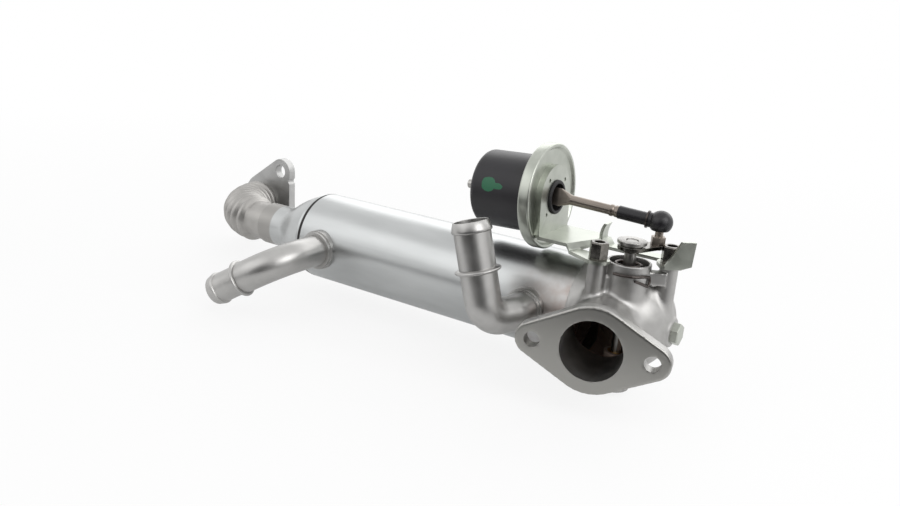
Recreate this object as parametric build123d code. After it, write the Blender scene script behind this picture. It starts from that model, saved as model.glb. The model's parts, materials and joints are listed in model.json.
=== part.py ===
"""Gas cooler with a by-pass valve, worked by a vacuum actuator. Lengths are in mm.

The cooler frame has x = 0 at the inlet end of the shell, X along the shell towards the valve, +Z up, and
-Y towards the side with the coolant pipes and the outlet flange. Each piece is written with the centre of
the outlet flange's face as origin.
"""

import os
from math import cos, hypot, radians, sin, sqrt

from build123d import *

# Shell
SHELL_RADIUS = 31.75
SHELL_WALL = 1.0
SHELL_LENGTH = 218.0

# Tube plates, gas tubes and baffles
PLATE_SHEET = 1.6
PLATE_DISH = 8.0
PLATE_RIM_STEP = 0.55
PLATE_RIGHT_SETBACK = 16.0
TUBE_RADIUS = 4.0
TUBE_WALL = 0.6
TUBE_PITCH = 13.0
TUBE_GAP = 1.6
TUBE_STAND = 1.0
BYPASS_RADIUS = 8.5
BYPASS_WALL = 0.8
BYPASS_GAP = 0.4
BAFFLE_SHEET = 1.0
BAFFLE_COUNT = 3
BAFFLE_WINDOW = 12.0
BAFFLE_CLEARANCE = 0.2

# Inlet cone and its neck
CONE_SHEET = 1.2
CONE_LIP_WIDTH = 2.0
CONE_LIP_STEP = 0.55
CONE_CORNER = 0.6
CONE_LENGTH = 32.4
NECK_RADIUS = 16.0
NECK_LENGTH = 22.0
NECK_DROP = 2.3

# Bellows pipe, its centre-line turning from -X to +Y
BELLOWS_BEND = 45.5
BELLOWS_SHEET = 0.8
BELLOWS_CREST = 18.1
BELLOWS_FOLDS = 9
CUFF_LENGTH = 12.0
CUFF_OVERLAP = 8.0
BELLOWS_EDGE_TURN = 4.0
BELLOWS_TAIL = 5.5

# Inlet flange
INLET_FLANGE_SHEET = 7.0
INLET_FLANGE_RADIUS = 23.3
INLET_LOBE_RADIUS = 10.5
INLET_HOLE_RADIUS = 5.3
INLET_HOLE_CIRCLE = 70.1
INLET_HOLE_LEAN = 33.6
INLET_CORNER_RADIUS = 8.0
INLET_CORNER_REACH = 22.5
INLET_CORNER_DROP = 4.0
INLET_NOTCH_RADIUS = 2.4
INLET_NOTCH_HEIGHT = 22.0
INLET_NOTCH_DEPTH = 1.2

# Coolant pipes
PIPE_RADIUS = 11.0
PIPE_WALL = 1.2
PIPE_ENTRY = 0.4
COLLAR_HEIGHT = 2.2
BEAD_LENGTH = 2.6
BARB_RISE = 1.0
BARB_BAND = 1.2
BARB_START = 5.8
BARB_BACK = 0.8
BARB_NOSE = 0.4
LEFT_PIPE_X = 20.5
LEFT_PIPE_LEG = 41.85
LEFT_PIPE_RUN = 29.3
LEFT_PIPE_TURN = 16.7
LEFT_PIPE_FALL = 31.15
LEFT_PIPE_BEND = 33.0
LEFT_COLLAR_RING = 3.0
LEFT_BEAD_RISE = 2.0
LEFT_TAIL = 25.5
LEFT_TAIL_RADIUS = 10.4
RIGHT_PIPE_SETBACK = 30.4
RIGHT_PIPE_Z = 1.2
RIGHT_PIPE_OFFSET = 32.25
RIGHT_STUB = 12.5
RIGHT_STUB_BEND = 14.0
RIGHT_ELBOW_SHIFT = 8.2
RIGHT_ELBOW_BEND = 15.0
RIGHT_LEG = 27.5
RIGHT_LEAN = 15.8
RIGHT_COLLAR_RING = 1.6
RIGHT_BEAD_RISE = 2.7
RIGHT_TAIL = 30.2
RIGHT_TAIL_RADIUS = 11.0
COLLAR_STEP = 0.8

# Valve casting
CAST_WALL = 3.5
COLLAR_OVERLAP = 4.0
COLLAR_LENGTH = 12.0
COLLAR_WALL = 1.45
DOME_RADIUS = 33.0
DOME_BEYOND = 18.0
DOME_LENGTH = 34.0
FLANGE_BEYOND = 27.5
FLANGE_OFFSET = 31.25
FLANGE_TURN = 12.7
FLANGE_SHEET = 8.0
FLANGE_RADIUS = 25.5
FLANGE_LOBE_RADIUS = 10.0
FLANGE_HOLE_CIRCLE = 66.4
FLANGE_HOLE_RADIUS = 4.5
FLANGE_EDGE = 0.8
DUCT_RADIUS = 21.0
DUCT_BORE = 17.5
DUCT_DEPTH = 40.0
BOSS_RADIUS = 12.9
BOSS_HEIGHT = 40.2
BOSS_EDGE = 0.6
CUP_RADIUS = 10.2
CUP_DEPTH = 10.0
LOWER_BOSS_RADIUS = 10.0
LOWER_BOSS_DEPTH = 39.0
LOWER_BOSS_FLOOR = 3.5
LOWER_BOSS_EDGE = 1.2
INNER_BOSS_RADIUS = 7.5
INNER_BOSS_Z = 16.0
POST_RADIUS = 5.3
POST_FOOT = 13.0
POST_TOP = 39.5
LEFT_POST_BEYOND = 10.9
LEFT_POST_Y = -28.3
RIGHT_POST_BEYOND = 44.9
RIGHT_POST_Y = -3.4
WEB_SHEET = 6.0
WEB_TOP = 31.0
LUG_START = 10.0
LUG_END = 21.3
LUG_SHEET = 6.6
LUG_OFFSET = 3.2
LUG_BOTTOM = 25.5
LUG_TOP = 36.3
LUG_EDGE = 1.2
PLUG_FLATS = 12.0
PLUG_HEAD = 4.8
PLUG_EDGE = 0.6
PLUG_SHANK = 4.5
PLUG_SEAT = 8.4
PLUG_SEAT_LENGTH = 8.0
PLUG_DROP = 1.3

# Shaft, flap and the wall that the flap closes
SHAFT_BEYOND = 25.0
SHAFT_Y = -15.0
SHAFT_RADIUS = 3.5
SHAFT_FIT = 0.05
SHAFT_EDGE = 0.5
SHAFT_SETBACK = 0.4
SHAFT_END_GAP = 0.5
BUSH_WALL = 1.95
BUSH_RISE = 2.8
FLAP_REST = 130.0
FLAP_LENGTH = 32.5
FLAP_HEIGHT = 28.0
FLAP_SHEET = 2.5
FLAP_GAP = 0.35
FLAP_CORNER = 2.5
PARTITION_SHEET = 3.0
WINDOW_START = 7.5
WINDOW_LENGTH = 21.0
WINDOW_HEIGHT = 22.0
WINDOW_CORNER = 3.0

# Torsion spring and the wire clip on the boss
SPRING_WIRE = 0.9
SPRING_RADIUS = 7.7
SPRING_TURNS = 4
SPRING_PITCH = 2.0
SPRING_GAP = 0.05
CLIP_WIRE = 0.8
CLIP_GAP = 0.3
CLIP_DROP = 5.2
CLIP_DEPTH = 6.6
CLIP_BEND = 1.3

# Lever and its discs
LEVER_RADIUS = 18.03
LEVER_ANGLE = 56.3
LEVER_Z = 47.4
LEVER_SHEET = 2.2
LEVER_HUB = 8.0
LEVER_TIP = 4.6
WASHER_RADIUS = 4.8
WASHER_SHEET = 1.6
LEVER_DISC_RADIUS = 6.2
LEVER_DISC_SHEET = 1.3
TOP_DISC_RADIUS = 8.5
TOP_DISC_SHEET = 2.0

# Ball stud, socket and rod
STUD_FLATS = 7.6
STUD_HEX = 4.6
STUD_RIVET = 0.9
STUD_RIVET_RADIUS = 3.2
STUD_SHANK = 2.4
BALL_RADIUS = 5.0
BALL_Z = 62.6
BALL_FIT = 0.05
SOCKET_RADIUS = 6.9
SOCKET_MOUTH = 4.3
SOCKET_FLOOR = 4.6
SOCKET_NECK = 4.4
SOCKET_LENGTH = 7.3
CLIP_RING = 5.2
CLIP_RING_SHEET = 0.9
SLEEVE_RADIUS = 3.9
SLEEVE_LENGTH = 17.2
FERRULE_RADIUS = 3.5
FERRULE_LENGTH = 5.0
FERRULE_GROOVE = 0.5
ROD_RADIUS = 3.0
ROD_LENGTH = 62.0
BLADE_FLARE = 7.0
BLADE_HEIGHT = 10.8
BLADE_SHEET = 3.0
BLADE_TWIST = 15.0
BLADE_LENGTH = 7.5
BLADE_TAIL_HEIGHT = 7.0
BLADE_TAIL = 9.0
ROD_REAR_AHEAD = 3.7
ROD_REAR_SHIFT = -0.5
ROD_REAR_RISE = 0.6

# Actuator; its axis leans up by ACTUATOR_LEAN, and s runs along it from the front edge of the rim
ACTUATOR_SETBACK = 31.7
ACTUATOR_Y = -6.5
ACTUATOR_RISE = 24.9
ACTUATOR_LEAN = 2.5
RIM_RADIUS = 32.5
RIM_DEPTH = 7.5
RIM_SHEET = 1.1
RIM_LIP = 2.0
RIM_SLOPE = 1.6
RIM_EDGE = 0.7
COVER_SHEET = 1.5
COVER_SETBACK = 2.0
CAN_RADIUS = 24.0
CAN_LENGTH = 46.5
CAN_WALL = 1.5
CAN_CORNER = 4.0
CAN_FLANGE_SHEET = 1.2
DIAPHRAGM_SHEET = 1.6
DIAPHRAGM_EDGE_GAP = 0.4
PISTON_RADIUS = 20.0
PISTON_SHEET = 1.5
PISTON_S = -14.5
PISTON_TRAVEL = 15.1
STEM_CUP_RADIUS = 10.2
STEM_CUP_WALL = 1.2
STEM_CUP_LENGTH = 7.8
BOOT_RADIUS = 10.0
BOOT_BORE = 8.4
BOOT_LIP = 0.6
BOOT_LIP_SHEET = 0.8
BOOT_NOSE = 1.6
NIPPLE_RADIUS = 3.0
NIPPLE_BORE = 1.6
NIPPLE_LENGTH = 14.0
NIPPLE_TIP = 0.6
SPIGOT_RADIUS = 2.6
COIL_WIRE = 1.1
COIL_RADIUS = 13.0
COIL_TURNS = 3
COIL_FLOOR_GAP = 0.1
COIL_PLATE_GAP = 0.3

# Bracket sheet
SHEET = 2.0
PAN_DEPTH = 4.0
PAN_RADIUS = 19.6
PAN_CORNER = 2.5
DIMPLE_RADIUS = 1.2
DIMPLE_DEPTH = 0.6
DIMPLE_CIRCLE = 14.6
DIMPLE_ANGLES = (40.0, 130.0, 220.0)
STEP_RISE = 3.7
STEP_RUN = 2.6
STEP_LEAN = 21.0
STEP_SETBACK = 8.0
BOLT_CLEARANCE = 0.3
EYE_RADIUS = 7.5
BOSS_CLEARANCE = 1.0
ARM_WIDTH = 9.0
STRIP_FAR = 9.0
TAB_BEYOND = 44.5
TAB_Y = -12.5
TAB_LENGTH = 16.5
TAB_ANGLE = 41.0
TAB_RISE = 14.4
TAB_FOOT = 9.0
TAB_FOOT_SETBACK = 0.8
TAB_TOP_START = 8.2
HOOK_BEYOND = 0.5
HOOK_Y = 5.0
HOOK_WIDTH = 8.4
HOOK_RISE = 13.0
HOOK_BOW = 2.0
STUD_RADIUS = 3.0
STUD_DEPTH = 11.5
STUD_END_GAP = 0.5
NUT_FLATS = 10.0
NUT_HEIGHT = 10.0
NUT_RECESS = 2.0
NUT_EDGE = 0.5

# Values that follow from the sizes above
SHELL_BORE = SHELL_RADIUS - SHELL_WALL
RIGHT_PIPE_X = SHELL_LENGTH - RIGHT_PIPE_SETBACK
DOME_X = SHELL_LENGTH + DOME_BEYOND
FLANGE_X = SHELL_LENGTH + FLANGE_BEYOND
SHAFT_X = SHELL_LENGTH + SHAFT_BEYOND
LEFT_POST = (SHELL_LENGTH + LEFT_POST_BEYOND, LEFT_POST_Y)
RIGHT_POST = (SHELL_LENGTH + RIGHT_POST_BEYOND, RIGHT_POST_Y)
ACTUATOR_X = SHELL_LENGTH - ACTUATOR_SETBACK
STEP_X = SHELL_LENGTH - STEP_SETBACK
TAB_START = (SHELL_LENGTH + TAB_BEYOND, TAB_Y)
HOOK_X = SHELL_LENGTH + HOOK_BEYOND
BYPASS_Y = SHELL_BORE - PLATE_SHEET - BYPASS_GAP - BYPASS_RADIUS
PLATE_RIGHT_X = SHELL_LENGTH - PLATE_RIGHT_SETBACK
NECK_END = -(PLATE_SHEET + CONE_LIP_WIDTH + CONE_LENGTH + NECK_LENGTH)
CUFF_RADIUS = NECK_RADIUS - CONE_SHEET
BEND_X = NECK_END - CUFF_LENGTH
INLET_X = BEND_X - BELLOWS_BEND
INLET_Y = BELLOWS_BEND + 1.0
COLLAR_RADIUS = SHELL_RADIUS + COLLAR_WALL
COLLAR_X = SHELL_LENGTH - COLLAR_OVERLAP
FLANGE_Y = -(SHELL_RADIUS + FLANGE_OFFSET)
FLANGE_NORMAL = Vector(sin(radians(FLANGE_TURN)), -cos(radians(FLANGE_TURN)), 0)
FLANGE_ACROSS = Vector(cos(radians(FLANGE_TURN)), sin(radians(FLANGE_TURN)), 0)
CAVITY_RADIUS = DOME_RADIUS - CAST_WALL
CAVITY_LENGTH = DOME_LENGTH - CAST_WALL
BUSH_BORE = SHAFT_RADIUS + SHAFT_FIT
BUSH_RADIUS = BUSH_BORE + BUSH_WALL
CUP_FLOOR = BOSS_HEIGHT - CUP_DEPTH
SHAFT_HOLE_FLOOR = LOWER_BOSS_FLOOR - LOWER_BOSS_DEPTH
SHAFT_BOTTOM = SHAFT_HOLE_FLOOR + SHAFT_END_GAP
PIPE_START = -(sqrt(SHELL_BORE**2 - PIPE_RADIUS**2) - PIPE_ENTRY)
LEVER_TOP = LEVER_Z + LEVER_SHEET
DISC_TOP = LEVER_TOP + LEVER_DISC_SHEET + TOP_DISC_SHEET
BALL_X = SHAFT_X + LEVER_RADIUS * cos(radians(LEVER_ANGLE))
BALL_Y = SHAFT_Y + LEVER_RADIUS * sin(radians(LEVER_ANGLE))
SHEET_TOP = POST_TOP + SHEET
STEP_TOP = SHEET_TOP + STEP_RISE
ACTUATOR_Z = SHEET_TOP + ACTUATOR_RISE
PAN_FRONT = PAN_DEPTH - COVER_SETBACK
CAN_FLANGE_RADIUS = RIM_RADIUS - RIM_SHEET
COVER_BACK = -COVER_SETBACK - COVER_SHEET
DIAPHRAGM_BACK = COVER_BACK - DIAPHRAGM_SHEET
CAN_FLANGE_BACK = DIAPHRAGM_BACK - CAN_FLANGE_SHEET

# Frames that several pieces share
BASE = (Align.CENTER, Align.CENTER, Align.MIN)
COOLER_TO_ORIGIN = Location((-FLANGE_X, -FLANGE_Y, 0))
FLANGE_FACE = Plane(origin=(FLANGE_X, FLANGE_Y, 0), x_dir=FLANGE_ACROSS, z_dir=FLANGE_NORMAL)
FLAP_PLANE = Plane(
    origin=(SHAFT_X, SHAFT_Y, 0),
    x_dir=(cos(radians(FLAP_REST)), sin(radians(FLAP_REST)), 0),
    z_dir=(0, 0, 1),
)
ACTUATOR_AXIS = Vector(cos(radians(ACTUATOR_LEAN)), 0, sin(radians(ACTUATOR_LEAN)))
ACTUATOR = Plane(origin=(ACTUATOR_X, ACTUATOR_Y, ACTUATOR_Z), x_dir=(0, 1, 0), z_dir=ACTUATOR_AXIS)
ROD_REAR = Vector(ACTUATOR_X + ROD_REAR_AHEAD, ACTUATOR_Y + ROD_REAR_SHIFT, ACTUATOR_Z + ROD_REAR_RISE)
BALL = Vector(BALL_X, BALL_Y, BALL_Z)
ROD_PLANE = Plane(origin=BALL, x_dir=(0, 0, 1), z_dir=ROD_REAR - BALL)


def bar(start, end, radius):
    """Return a round bar between two points."""
    start = Vector(*start)
    run = Vector(*end) - start
    return Plane(origin=start, z_dir=run) * Cylinder(radius, run.length, align=BASE)


def post(spot, low, high, radius):
    """Return an upright round bar over a spot of the plan."""
    return Location((spot[0], spot[1], low)) * Cylinder(radius, high - low, align=BASE)


def ring(radius, bore, low, high):
    """Return a flat ring on Z, between two heights."""
    body = Cylinder(radius, high - low, align=BASE) - Cylinder(bore, high - low, align=BASE)
    return Location((0, 0, low)) * body


def turned(*points):
    """Return the solid that a closed outline of (radius, height) points turns about Z."""
    outline = make_face(Polyline(*points, close=True))
    return revolve(Plane.XZ * outline, Axis.Z)


def hexagon(flats, low, high):
    """Return a hexagonal bar on Z, between two heights."""
    outline = RegularPolygon(flats / 2, 6, major_radius=False)
    return Location((0, 0, low)) * extrude(outline, high - low)


def hull(*circles):
    """Return the plan outline that a band drawn tight round (x, y, radius) circles has."""
    rounds = [Location((x, y)) * Circle(radius) for x, y, radius in circles]
    edges = [edge for disc in rounds for edge in disc.edges()]
    return make_hull(edges)


def shell_tube():
    """Return the shell, with a hole for each coolant pipe."""
    tube = bar((0, 0, 0), (SHELL_LENGTH, 0, 0), SHELL_RADIUS)
    tube -= bar((0, 0, 0), (SHELL_LENGTH, 0, 0), SHELL_BORE)
    return tube - left_pipe_bar(PIPE_RADIUS) - right_pipe_bar(PIPE_RADIUS)


def gas_tube_spots():
    """Return the (y, z) places of the gas tubes, in staggered rows that leave room for the by-pass."""
    reach = SHELL_BORE - TUBE_GAP - TUBE_RADIUS
    apart = BYPASS_RADIUS + TUBE_GAP + TUBE_RADIUS
    row_pitch = TUBE_PITCH * sqrt(3) / 2
    rows = int(reach / row_pitch)
    columns = int(reach / TUBE_PITCH) + 1
    spots = []
    for row in range(-rows, rows + 1):
        y = row * row_pitch
        for column in range(-columns, columns + 1):
            z = (column + 0.5 * (row % 2)) * TUBE_PITCH
            if hypot(y, z) <= reach and hypot(y - BYPASS_Y, z) >= apart:
                spots.append((y, z))
    return spots


def tube_holes(low, high):
    """Return the bars that cut a hole for each gas tube and for the by-pass tube."""
    holes = bar((low, BYPASS_Y, 0), (high, BYPASS_Y, 0), BYPASS_RADIUS)
    for y, z in gas_tube_spots():
        holes += bar((low, y, z), (high, y, z), TUBE_RADIUS)
    return holes


def tube_plate(face, open_end, rim_start, rim_radius):
    """Return a drawn plate with a skirt, from the outer side of its floor to its open end."""
    inward = 1 if open_end > face else -1
    inner = face + inward * PLATE_SHEET
    plate = bar((face, 0, 0), (open_end, 0, 0), SHELL_BORE)
    plate -= bar((inner, 0, 0), (open_end, 0, 0), SHELL_BORE - PLATE_SHEET)
    if rim_radius > SHELL_BORE:
        rim = bar((rim_start, 0, 0), (open_end, 0, 0), rim_radius)
        plate += rim - bar((rim_start, 0, 0), (open_end, 0, 0), SHELL_BORE - PLATE_SHEET)
    low = min(face, inner)
    return plate - tube_holes(low, low + PLATE_SHEET)


def tube_plate_left():
    """Return the inlet plate; its rim lies between the shell and the cone, a little below both."""
    return tube_plate(PLATE_DISH, -PLATE_SHEET, 0, SHELL_RADIUS - PLATE_RIM_STEP)


def tube_plate_right():
    """Return the outlet plate, with its skirt towards the valve."""
    return tube_plate(PLATE_RIGHT_X, PLATE_RIGHT_X + PLATE_DISH, PLATE_RIGHT_X, SHELL_BORE)


def gas_tubes():
    """Return the straight gas tubes."""
    low = PLATE_DISH - PLATE_SHEET - TUBE_STAND
    high = PLATE_RIGHT_X + PLATE_SHEET + TUBE_STAND
    tubes = []
    for y, z in gas_tube_spots():
        tube = bar((low, y, z), (high, y, z), TUBE_RADIUS)
        tubes.append(tube - bar((low, y, z), (high, y, z), TUBE_RADIUS - TUBE_WALL))
    return Compound(children=tubes)


def bypass_end():
    """Return the space beyond the far side of the partition, where the by-pass tube is cut off."""
    far = FLAP_SHEET / 2 + FLAP_GAP + PARTITION_SHEET
    reach = 2 * DOME_RADIUS
    block = Box(2 * reach, reach, reach, align=(Align.CENTER, Align.MAX, Align.CENTER))
    return FLAP_PLANE * Location((0, -far, 0)) * block


def bypass_tube():
    """Return the wide tube that takes hot gas past the gas tubes to the window's far side."""
    low = PLATE_DISH - PLATE_SHEET - TUBE_STAND
    outside = bar((low, BYPASS_Y, 0), (DOME_X, BYPASS_Y, 0), BYPASS_RADIUS)
    inside = bar((low, BYPASS_Y, 0), (DOME_X, BYPASS_Y, 0), BYPASS_RADIUS - BYPASS_WALL)
    return outside - inside - bypass_end()


def baffles():
    """Return the coolant baffles, with their windows on alternate sides."""
    radius = SHELL_BORE - BAFFLE_CLEARANCE
    pitch = (PLATE_RIGHT_X - PLATE_DISH) / (BAFFLE_COUNT + 1)
    plates = []
    for index in range(BAFFLE_COUNT):
        x = PLATE_DISH + pitch * (index + 1)
        side = 1 if index % 2 == 0 else -1
        plate = bar((x, 0, 0), (x + BAFFLE_SHEET, 0, 0), radius)
        window = Box(BAFFLE_SHEET, 2 * radius, radius, align=(Align.MIN, Align.CENTER, Align.CENTER))
        offset = side * (radius / 2 + radius - BAFFLE_WINDOW)
        plate -= Location((x, 0, offset)) * window
        plates.append(plate - tube_holes(x, x + BAFFLE_SHEET))
    return Compound(children=plates)


def cone_skin(inset):
    """Return the solid inside the cone and neck, drawn in from the outer face by an inset."""
    start = -PLATE_SHEET - CONE_LIP_WIDTH
    mouth = SHELL_RADIUS - CONE_LIP_STEP - CONE_CORNER
    shape = ((0.0, 0.0), (0.22, 0.17), (0.5, 0.45), (0.78, 0.8), (1.0, 1.0))
    rings = []
    for run, fall in shape:
        radius = mouth + (NECK_RADIUS - mouth) * fall - inset
        centre = (start - CONE_LENGTH * run, 0, -NECK_DROP * fall)
        rings.append(Plane(origin=centre, z_dir=(-1, 0, 0)) * Circle(radius))
    neck = bar((start - CONE_LENGTH, 0, -NECK_DROP), (NECK_END, 0, -NECK_DROP), NECK_RADIUS - inset)
    return loft(rings) + neck


def inlet_cone():
    """Return the drawn cone between the shell and the bellows, with a lip at its wide end."""
    lip_end = -PLATE_SHEET - CONE_LIP_WIDTH
    lip = bar((-PLATE_SHEET, 0, 0), (lip_end, 0, 0), SHELL_RADIUS - CONE_LIP_STEP)
    lip -= bar((-PLATE_SHEET, 0, 0), (lip_end, 0, 0), SHELL_BORE - PLATE_SHEET)
    return lip + (cone_skin(0) - cone_skin(CONE_SHEET))


def bend_plane(turn):
    """Return the plane across the bellows' centre-line after a turn in degrees."""
    angle = radians(turn)
    centre = (BEND_X - BELLOWS_BEND * sin(angle), BELLOWS_BEND * (1 - cos(angle)), -NECK_DROP)
    return Plane(origin=centre, x_dir=(0, 0, 1), z_dir=(-cos(angle), sin(angle), 0))


def bellows_skin(inset, flank, crest):
    """Return the folded solid; flank and crest are the shares of a fold where its sides start and end."""
    root = CUFF_RADIUS - inset
    peak = BELLOWS_CREST - inset
    fold = (90 - 2 * BELLOWS_EDGE_TURN) / BELLOWS_FOLDS
    rings = [bend_plane(0) * Circle(root)]
    for index in range(BELLOWS_FOLDS):
        start = BELLOWS_EDGE_TURN + fold * index
        for share, radius in ((flank, root), (crest, peak), (1 - crest, peak), (1 - flank, root)):
            rings.append(bend_plane(start + fold * share) * Circle(radius))
    rings.append(bend_plane(90) * Circle(root))
    folds = loft(rings, ruled=True)
    cuff = bar((NECK_END + CUFF_OVERLAP, 0, -NECK_DROP), (BEND_X, 0, -NECK_DROP), root)
    tail = bar((INLET_X, BELLOWS_BEND, -NECK_DROP), (INLET_X, INLET_Y + BELLOWS_TAIL, -NECK_DROP), root)
    return cuff + folds + tail


def bellows_pipe():
    """Return the bellows, with a plain cuff in the neck and a plain tail in the flange."""
    return bellows_skin(0, 0.14, 0.36) - bellows_skin(BELLOWS_SHEET, 0.22, 0.44)


def inlet_flange_plane():
    """Return the pipe side of the inlet flange, with X along the object's -X."""
    return Plane(origin=(INLET_X, INLET_Y, -NECK_DROP), x_dir=(-1, 0, 0), z_dir=(0, 1, 0))


def exhaust_flange():
    """Return the inlet flange: two lobes on a slant, and one straight upright edge beside the upper lobe."""
    across = -INLET_HOLE_CIRCLE / 2 * sin(radians(INLET_HOLE_LEAN))
    up = INLET_HOLE_CIRCLE / 2 * cos(radians(INLET_HOLE_LEAN))
    outline = hull(
        (0, 0, INLET_FLANGE_RADIUS),
        (across, up, INLET_LOBE_RADIUS),
        (-across, -up, INLET_LOBE_RADIUS),
        (-INLET_CORNER_REACH, -INLET_CORNER_DROP, INLET_CORNER_RADIUS),
    )
    outline -= Location((across, up)) * Circle(INLET_HOLE_RADIUS)
    outline -= Location((-across, -up)) * Circle(INLET_HOLE_RADIUS)
    outline -= Circle(CUFF_RADIUS)
    edge = across - INLET_LOBE_RADIUS
    notch = edge + INLET_NOTCH_DEPTH - INLET_NOTCH_RADIUS
    outline -= Location((notch, INLET_NOTCH_HEIGHT)) * Circle(INLET_NOTCH_RADIUS)
    return inlet_flange_plane() * extrude(outline, INLET_FLANGE_SHEET)


def left_pipe_path():
    """Return the points of the left pipe's centre-line, from inside the shell to its bead."""
    turn = radians(LEFT_PIPE_TURN)
    fall = radians(LEFT_PIPE_FALL)
    corner = Vector(LEFT_PIPE_X, -(SHELL_RADIUS + LEFT_PIPE_LEG), 0)
    end = corner - Vector(cos(fall) * cos(turn), cos(fall) * sin(turn), sin(fall)) * LEFT_PIPE_RUN
    return [(LEFT_PIPE_X, PIPE_START, 0), tuple(corner), tuple(end)]


def right_pipe_path():
    """Return the points of the right pipe's centre-line, from inside the shell to its bead."""
    far = -(SHELL_RADIUS + RIGHT_PIPE_OFFSET)
    knee_x = RIGHT_PIPE_X - RIGHT_ELBOW_SHIFT
    lean = radians(RIGHT_LEAN)
    start = (RIGHT_PIPE_X, PIPE_START, RIGHT_PIPE_Z)
    stub_end = (RIGHT_PIPE_X, -(SHELL_RADIUS + RIGHT_STUB), RIGHT_PIPE_Z)
    knee = (knee_x, far, RIGHT_PIPE_Z)
    top = (knee_x - RIGHT_LEG * sin(lean), far, RIGHT_PIPE_Z + RIGHT_LEG * cos(lean))
    return [start, stub_end, knee, top]


def swept_bar(points, radii, radius):
    """Return a round bar along straight runs joined by arcs."""
    path = FilletPolyline(*points, radius=radii)
    run = Vector(*points[1]) - Vector(*points[0])
    return sweep(Plane(origin=points[0], z_dir=run) * Circle(radius), path=path)


def left_pipe_bar(radius):
    """Return a round bar along the left pipe's centre-line."""
    return swept_bar(left_pipe_path(), LEFT_PIPE_BEND, radius)


def right_pipe_bar(radius):
    """Return a round bar along the right pipe's centre-line."""
    return swept_bar(right_pipe_path(), [RIGHT_STUB_BEND, RIGHT_ELBOW_BEND], radius)


def hose_end(path, tail, tail_radius, bead_rise):
    """Return the hose end beyond the last point of a path: a bead, a plain tail and a barb near the mouth."""
    end = Vector(*path[-1])
    run = end - Vector(*path[-2])
    bore = tail_radius - PIPE_WALL
    bead = PIPE_RADIUS + bead_rise
    crest = tail_radius + BARB_RISE
    barb = tail - BARB_START
    body = turned(
        (PIPE_RADIUS - PIPE_WALL, 0),
        (PIPE_RADIUS, 0),
        (bead, BEAD_LENGTH / 3),
        (bead, 2 * BEAD_LENGTH / 3),
        (tail_radius, BEAD_LENGTH),
        (tail_radius, barb - BARB_BACK),
        (crest, barb),
        (crest, barb + BARB_BAND),
        (tail_radius - BARB_NOSE, tail),
        (bore, tail),
        (bore, BEAD_LENGTH),
    )
    return Plane(origin=end, z_dir=run) * body


def coolant_pipe_left():
    """Return the coolant pipe at the inlet end, which bends back and down."""
    pipe = left_pipe_bar(PIPE_RADIUS) - left_pipe_bar(PIPE_RADIUS - PIPE_WALL)
    return pipe + hose_end(left_pipe_path(), LEFT_TAIL, LEFT_TAIL_RADIUS, LEFT_BEAD_RISE)


def coolant_pipe_right():
    """Return the elbow pipe at the valve end."""
    pipe = right_pipe_bar(PIPE_RADIUS) - right_pipe_bar(PIPE_RADIUS - PIPE_WALL)
    return pipe + hose_end(right_pipe_path(), RIGHT_TAIL, RIGHT_TAIL_RADIUS, RIGHT_BEAD_RISE)


def pipe_collar(path, pipe, width):
    """Return the stepped ring that joins a coolant pipe to the shell."""
    start = Vector(*path[0])
    run = (Vector(*path[1]) - start).normalized()
    seat = SHELL_RADIUS - abs(start.Y)
    wide = seat + COLLAR_HEIGHT
    narrow = wide + COLLAR_HEIGHT
    collar = bar(start, start + run * wide, PIPE_RADIUS + width)
    collar += bar(start, start + run * narrow, PIPE_RADIUS + width - COLLAR_STEP)
    reach = 2 * PIPE_RADIUS
    collar -= bar((start.X - reach, 0, 0), (start.X + reach, 0, 0), SHELL_RADIUS)
    return collar - pipe


def pipe_collar_left():
    """Return the collar of the left coolant pipe."""
    return pipe_collar(left_pipe_path(), left_pipe_bar(PIPE_RADIUS), LEFT_COLLAR_RING)


def pipe_collar_right():
    """Return the collar of the right coolant pipe."""
    return pipe_collar(right_pipe_path(), right_pipe_bar(PIPE_RADIUS), RIGHT_COLLAR_RING)


def dome(start, radius, length):
    """Return a round body on X whose far end is half an ellipsoid."""
    side = Polyline((DOME_X + length, 0), (start, 0), (start, radius), (DOME_X, radius))
    end = EllipticalCenterArc((DOME_X, 0), length, radius, start_angle=0, arc_size=90)
    return revolve(make_face(side.edges() + end.edges()), Axis.X)


def cavity():
    """Return the gas space inside the casting, from the shell's end on."""
    return dome(SHELL_LENGTH, CAVITY_RADIUS, CAVITY_LENGTH)


def outlet_flange():
    """Return the outlet flange: a round middle and two lobes, with its edges broken."""
    reach = FLANGE_HOLE_CIRCLE / 2
    outline = hull(
        (0, 0, FLANGE_RADIUS), (reach, 0, FLANGE_LOBE_RADIUS), (-reach, 0, FLANGE_LOBE_RADIUS)
    )
    plate = extrude(outline, -FLANGE_SHEET)
    plate = chamfer(plate.edges().group_by(Axis.Z)[-1] + plate.edges().group_by(Axis.Z)[0], FLANGE_EDGE)
    return FLANGE_FACE * plate


def outlet_holes():
    """Return the cutters for the outlet bore and the two flange holes."""
    bore = Location((0, 0, -DUCT_DEPTH)) * Cylinder(DUCT_BORE, DUCT_DEPTH, align=BASE)
    hole = Location((0, 0, -FLANGE_SHEET)) * Cylinder(FLANGE_HOLE_RADIUS, FLANGE_SHEET, align=BASE)
    reach = FLANGE_HOLE_CIRCLE / 2
    holes = bore + Location((reach, 0, 0)) * hole + Location((-reach, 0, 0)) * hole
    return FLANGE_FACE * holes


def web():
    """Return the wall between the left post and the boss."""
    run = Vector(SHAFT_X - LEFT_POST[0], SHAFT_Y - LEFT_POST[1], 0)
    block = Box(run.length, WEB_SHEET, WEB_TOP - INNER_BOSS_Z, align=(Align.MIN, Align.CENTER, Align.MIN))
    return Plane(origin=(*LEFT_POST, INNER_BOSS_Z), x_dir=run, z_dir=(0, 0, 1)) * block


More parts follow.
